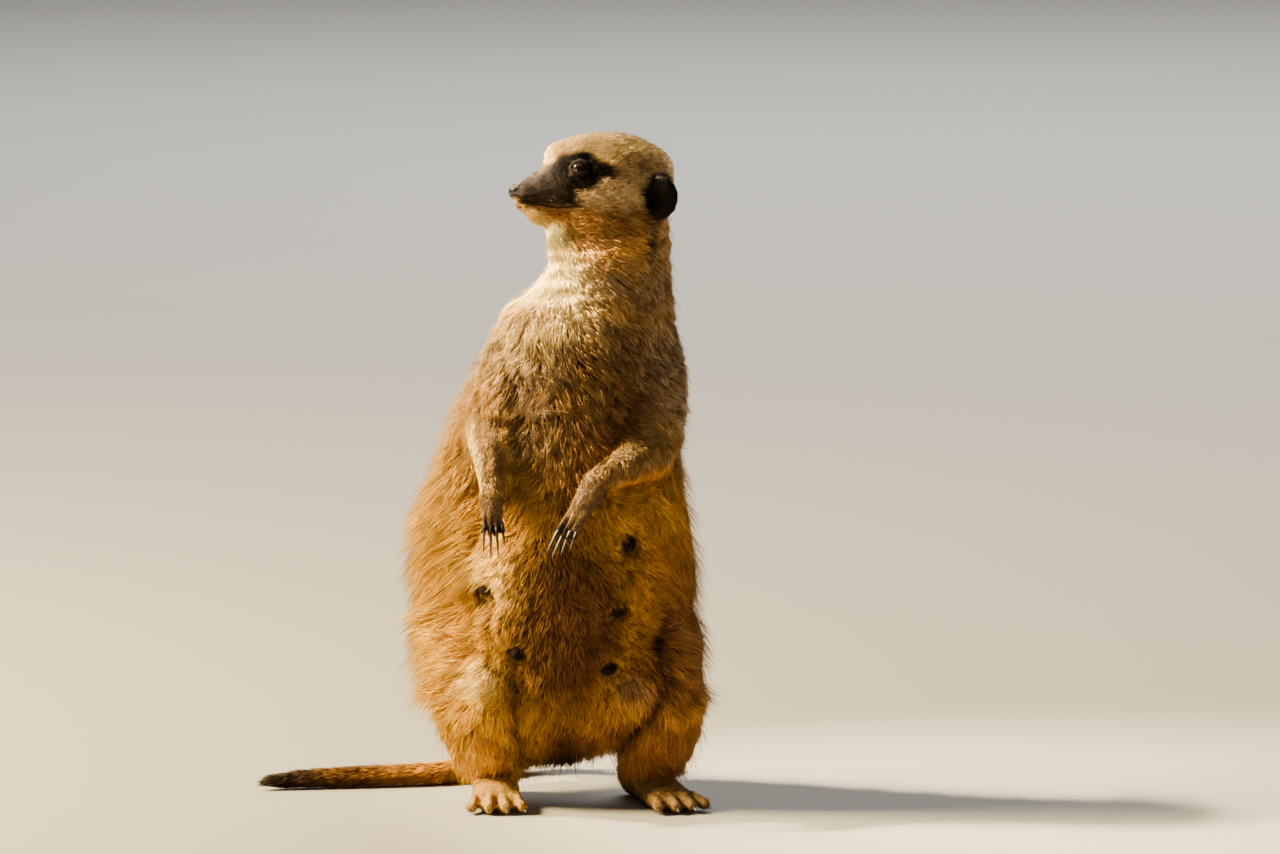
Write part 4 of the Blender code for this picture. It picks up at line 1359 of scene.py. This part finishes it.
# %% [markdown]
# ## The coat
# A tuft is a small closed solid. A long one, a spindle, starts as a point in the skin, is widest at its
# middle and ends in a point. The middle has a three-sided section, so six triangles look solid from every
# side, and it lets the tuft bend. A short one, a needle, is widest at its root and needs only four.
# Hundreds of thousands of them are made together as arrays, one mesh for each region of the body.
#
# The roots are drawn at random over the skin's triangles, more of them where the coat is dense. What the
# skin knows at its points (the lie of the coat, its length, its colours) is blended for each root.

# %% Roots of the tufts
points = mesh_points(skin.data)
normals = point_normals(skin.data)
TRIANGLES = triangle_corners(skin.data)
first, second, third = points[TRIANGLES].transpose(1, 0, 2)
AREAS = np.linalg.norm(np.cross(second - first, third - first), axis=1) / 2
lie = along_surface(spread(lie, 4), normals)
loop_uvs = read_all(skin.data.uv_layers["OFBake"].uv, "vector", 2)
TRIANGLE_UVS = loop_uvs[read_all(skin.data.loop_triangles, "loops", 3, np.int32)]
length *= 1 - 0.75 * bump(nipple_reach, 15.0)
bare = np.maximum.reduce([
    ramp(nipple_reach, 4.8, 3.6),
    ramp(eye_reach, 1.36, 1.22),
    on_face * ramp(forward, 27.5, 28.5) * ramp(upward, -13.5, -12.0),
])
growth = np.maximum(density, 0) * np.clip(1 - bare * 1.5, 0, 1)
print("skin area:", round(AREAS.sum() / 100), "square centimetres")


def roots(mask, count, rng):
    """Random places on the skin: their triangles and their weights for the three corners."""
    chance = AREAS * (growth * mask)[TRIANGLES].mean(axis=1)
    ladder = np.cumsum(chance)
    steps = (np.arange(count) + rng.random(count)) / count * ladder[-1]
    triangle = np.minimum(np.searchsorted(ladder, steps), len(chance) - 1)
    a, b = rng.random(count), rng.random(count)
    flip = a + b > 1
    a, b = np.where(flip, 1 - a, a), np.where(flip, 1 - b, b)
    return triangle, np.stack([1 - a - b, a, b], axis=1)


def at_roots(values, root):
    """A value of the skin's points, blended for each root."""
    triangle, weights = root
    return np.einsum("rc,rc...->r...", weights, values[TRIANGLES[triangle]])


# %% [markdown]
# Hairs do not grow alone: neighbours cling together and end in a common point, and the clumps lean in
# slightly different directions. Noise over the body turns the lie of the coat a little, and each tip is
# drawn towards the tip of a leader nearby. In some places a share of the hairs is pale from the middle on,
# which makes them stand out from the dark ones.

# %% Shape and colour of the tufts
def waves3(places, size, seed):
    return np.stack([waves(places, size, seed + i) for i in range(3)], axis=1)


def drawn_together(places, tips, strength, every):
    """The tips, each moved towards that of the nearest leader, and the leaders' numbers."""
    leaders = np.arange(0, len(places), every)
    tree = KDTree(len(leaders))
    for i, leader in enumerate(leaders):
        tree.insert(places[leader], i)
    tree.balance()
    nearest = leaders[[tree.find(place)[1] for place in places]]
    offset = tips[nearest] - tips
    far = np.linalg.norm(offset, axis=1, keepdims=True)
    reach = np.linalg.norm(tips - places, axis=1, keepdims=True)
    return tips + offset * strength * np.minimum(1, reach / np.maximum(far, 1e-6)), nearest


def vary(colours, amount, rng):
    """The colours, each a little lighter or darker and a little warmer or cooler."""
    light = rng.normal(1, amount, (len(colours), 1))
    warm = rng.normal(0, amount * 0.25, (len(colours), 1))
    return np.clip(colours * light * (1 + warm * np.array([1, 0, -1])), 0.002, 1)


def grow(
    name, mask, count, seed, clump=0.45, every=9, longer=1.0, steeper=0.0, wider=1.0,
    unruly=1.0, short=False, tint=1.0, lock=0.1, patchy=0.2, speckle=0.16, pale=0.0,
):
    """One piece of the coat, with this many tufts where the mask is.

    One in every so many tufts leads a clump, and clump says how strongly the others join it. Brightness
    varies from clump to clump by lock, over larger patches by patchy and from tuft to tuft by speckle. The
    share of tufts that are light from the middle on is pale.
    """
    rng = np.random.default_rng(seed)
    root = roots(mask, count, rng)
    place = at_roots(points, root)
    normal = unit(at_roots(normals, root))
    size = (at_roots(length, root) * rng.uniform(0.7, 1.2, count) * longer)[:, None]
    half = (at_roots(width, root) * rng.uniform(0.75, 1.25, count) * wider / 2)[:, None]
    angle = at_roots(lift, root) + steeper
    angle = np.radians(np.clip(angle + rng.normal(0, 7 * unruly, count), 4, 75))[:, None]
    swirl = 0.30 * waves3(place, 34, 40) + 0.28 * waves3(place, 7, 50)
    swirl = swirl + rng.normal(0, 0.13 * unruly, (count, 3))
    direction = along_surface(at_roots(lie, root) + unruly * swirl, normal)
    across = np.cross(normal, direction)
    first = np.cos(angle) * direction + np.sin(angle) * normal
    second = np.cos(angle * 0.45) * direction + np.sin(angle * 0.45) * normal
    place = place - 0.25 * normal
    middle = place + 0.45 * size * first
    tip = middle + 0.55 * size * second
    shade = np.full(count, tint)
    if clump:
        tip, leader = drawn_together(place, tip, clump, every)
        shade *= rng.normal(1, lock, count)[leader]
        tip, leader = drawn_together(place, tip, 0.7 * clump, 6 * every)
        shade *= rng.normal(1, patchy, count)[leader]
        middle = 0.65 * middle + 0.35 * (place + 0.5 * (tip - place) + 0.12 * size * normal)
    heading = unit(tip - place)
    across = unit(across - np.sum(across * heading, axis=1, keepdims=True) * heading)
    rise = np.cross(heading, across)
    widest, thickness, kind = (place, 0.9, NEEDLE) if short else (middle, 0.75, SPINDLE)
    ring = [widest + half * across, widest - half * across, widest + thickness * half * rise]
    corners = np.stack([*ring, tip] if short else [place, *ring, tip], axis=1)
    return build_tufts(name, corners, kind, root, shade, speckle, pale, rng)


# A tuft's faces, the part of the hair at each corner (0 root, 1 middle, 2 tip), and its patch of the unwrap.
SPINDLE = (
    [(0, 1, 2), (0, 2, 3), (0, 3, 1), (4, 2, 1), (4, 3, 2), (4, 1, 3)],
    [0, 1, 1, 1, 2],
    [(0, -1), (-1, 0), (1, 0), (0, 0.2), (0, 1)],
)
NEEDLE = (
    [(0, 1, 2), (3, 1, 0), (3, 2, 1), (3, 0, 2)],
    [0, 0, 1, 2],
    [(-1, -1), (1, -1), (0, -0.4), (0, 1)],
)
PATCH_SIZE = 0.0015  # of the unwrap's side
FLOOR_GAP = 0.05  # no hair reaches into the floor
print("faces of a spindle:", len(SPINDLE[0]), "and of a needle:", len(NEEDLE[0]))


def build_tufts(name, corners, kind, root, shade, speckle, pale, rng):
    """The mesh of many tufts of one kind."""
    pattern, parts, patch = kind
    count, sides = corners.shape[:2]
    faces = (np.arange(count)[:, None, None] * sides + np.array(pattern)).reshape(-1, 3)
    mesh = bpy.data.meshes.new(name)
    mesh.vertices.add(count * sides)
    corners[..., 2] = np.maximum(corners[..., 2], FLOOR_GAP)
    mesh.vertices.foreach_set("co", (corners * MM).ravel())
    mesh.loops.add(faces.size)
    mesh.loops.foreach_set("vertex_index", faces.ravel())
    mesh.polygons.add(len(faces))
    mesh.polygons.foreach_set("loop_start", np.arange(0, faces.size, 3))
    mesh.update(calc_edges=True)
    mesh.shade_smooth()
    shade = np.clip(shade, 0.5, 1.6)[:, None]
    middle_tint = vary(at_roots(middle_colour, root), speckle, rng) * shade
    root_tint = vary(at_roots(root_colour, root), 0.12, rng)
    tip_tint = vary(at_roots(tip_colour, root), 0.18, rng) * shade
    tip_tint = np.where(rng.random((count, 1)) < 0.75, tip_tint, middle_tint * 0.7)
    middle_tint = np.where(rng.random((count, 1)) < pale, 0.75 * tip_tint, middle_tint)
    tints = (root_tint, middle_tint, tip_tint)
    store_colours(mesh, "markings", np.stack([tints[part] for part in parts], axis=1).reshape(-1, 3))
    triangle, weights = root
    root_uv = np.einsum("rc,rcd->rd", weights, TRIANGLE_UVS[triangle])
    uvs = np.clip(root_uv[:, None, :] + PATCH_SIZE * np.array(patch), 0, 1).reshape(-1, 2)
    layer = mesh.uv_layers.new(name="OFBake")
    layer.uv.foreach_set("vector", uvs[faces.ravel()].ravel())
    made = add_object(name, mesh)
    made.data.materials.append(COAT_MATERIAL)
    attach(made, "root")
    print(f"  {name}: {count} tufts, {len(faces)} triangles")
    return made


# %% [markdown]
# The hair's material takes its colour from the tuft's corners, with a fine grain over it. It shines very
# little, because a strong shine would wash out the markings.

# %% Hair
coat_recipe, grain = marked_material("coat", 0.5, 0.05, 900, 0.7, 1.3)
COAT_MATERIAL = coat_recipe.material
print("one material made for every tuft")


# %% [markdown]
# Each region is a mesh of its own, with the number of tufts that its area and its coat ask for.

# %% Regions of the coat
BELLY_HALF = 18  # mm from the body's middle line
on_head = part_share("head", "nose_pad", "ear", rounds=22)
on_limb = part_share("forearm", "hand", rounds=2)
on_leg = part_share("lower_leg", rounds=8)
on_tail = part_share("tail_root", "tail_middle", "tail_end", rounds=2)
on_neck = part_share("neck", rounds=22)
on_body = np.clip(1 - on_head - on_limb - on_leg - on_foot - on_tail - on_neck, 0, 1)
face = on_head * ramp(forward, -13, -5)
side_x = x - MIDDLE_X
front_side = ramp(y, 6, 2)
upper_body = on_body * ramp(z, 150, 154)
lower_body = on_body * (1 - ramp(z, 150, 154))
lower_front = lower_body * front_side

grow("coat_face", face, 34000, 11, clump=0.25, unruly=0.7, short=True, speckle=0.4, lock=0.22, patchy=0.1)
grow(
    "coat_crown", on_head - face, 26000, 12,
    every=7, short=True, speckle=0.4, lock=0.32, patchy=0.12, pale=0.15,
)
grow("coat_neck", on_neck, 24000, 13, clump=0.35, unruly=0.65, patchy=0.06, speckle=0.22, pale=0.2)
grow(
    "coat_chest", upper_body * front_side, 31000, 14, clump=0.6, unruly=1.4,
    longer=1.15, wider=0.85, lock=0.2, patchy=0.26, speckle=0.3, pale=0.3,
)
grow("coat_upper_back", upper_body * (1 - front_side), 14000, 15, speckle=0.3, pale=0.3)
grow("coat_lower_back", lower_body * (1 - front_side), 20000, 16)
grow(
    "coat_right_flank", lower_front * (side_x < -BELLY_HALF), 24000, 17, clump=0.6, unruly=1.15,
    lock=0.22, patchy=0.3, speckle=0.25, pale=0.1,
)
grow("coat_belly", lower_front * (np.abs(side_x) <= BELLY_HALF), 10000, 18, clump=0.35)
grow(
    "coat_left_flank", lower_front * (side_x > BELLY_HALF), 20000, 19, unruly=1.1,
    lock=0.2, patchy=0.26, speckle=0.25, pale=0.1,
)
grow("coat_arms", on_limb, 14000, 20, unruly=0.7, clump=0.3)
grow("coat_legs", on_leg, 14000, 21, clump=0.55)
grow("coat_feet", on_foot, 16000, 22, unruly=0.6, clump=0.25, short=True)
grow("coat_tail", on_tail, 12000, 23, unruly=0.6, clump=0.3, short=True)
long_coat = on_body + on_neck + on_leg
fringe = long_coat * (0.3 + 2 * shaggy + 0.4 * far_flank)
grow("guard_hairs", fringe, 14000, 24, clump=0.3, every=3, longer=1.4, steeper=16, wider=0.6)
outer = on_body * shaggy * ramp(normals[:, 1], -0.75, -0.3)
grow("wisps", outer, 5000, 25, clump=0.55, every=4, longer=1.85, steeper=34, wider=1.1, tint=0.5)
pads = on_head * bump(forward - 19, 9) * bump(upward - mouth_height(forward) - 4.0, 4.0)
grow("whiskers", pads, 44, 26, clump=0, longer=6.5, steeper=26, wider=0.7, unruly=1.2, tint=0.5)
brows = on_head * bump(np.hypot(forward - 6, upward - 6.5), 3.5) * ramp(side_of_head, 5, 8)
grow("brow_hairs", brows, 12, 27, clump=0, longer=2.0, steeper=30, wider=0.6, unruly=0.8, tint=0.5)
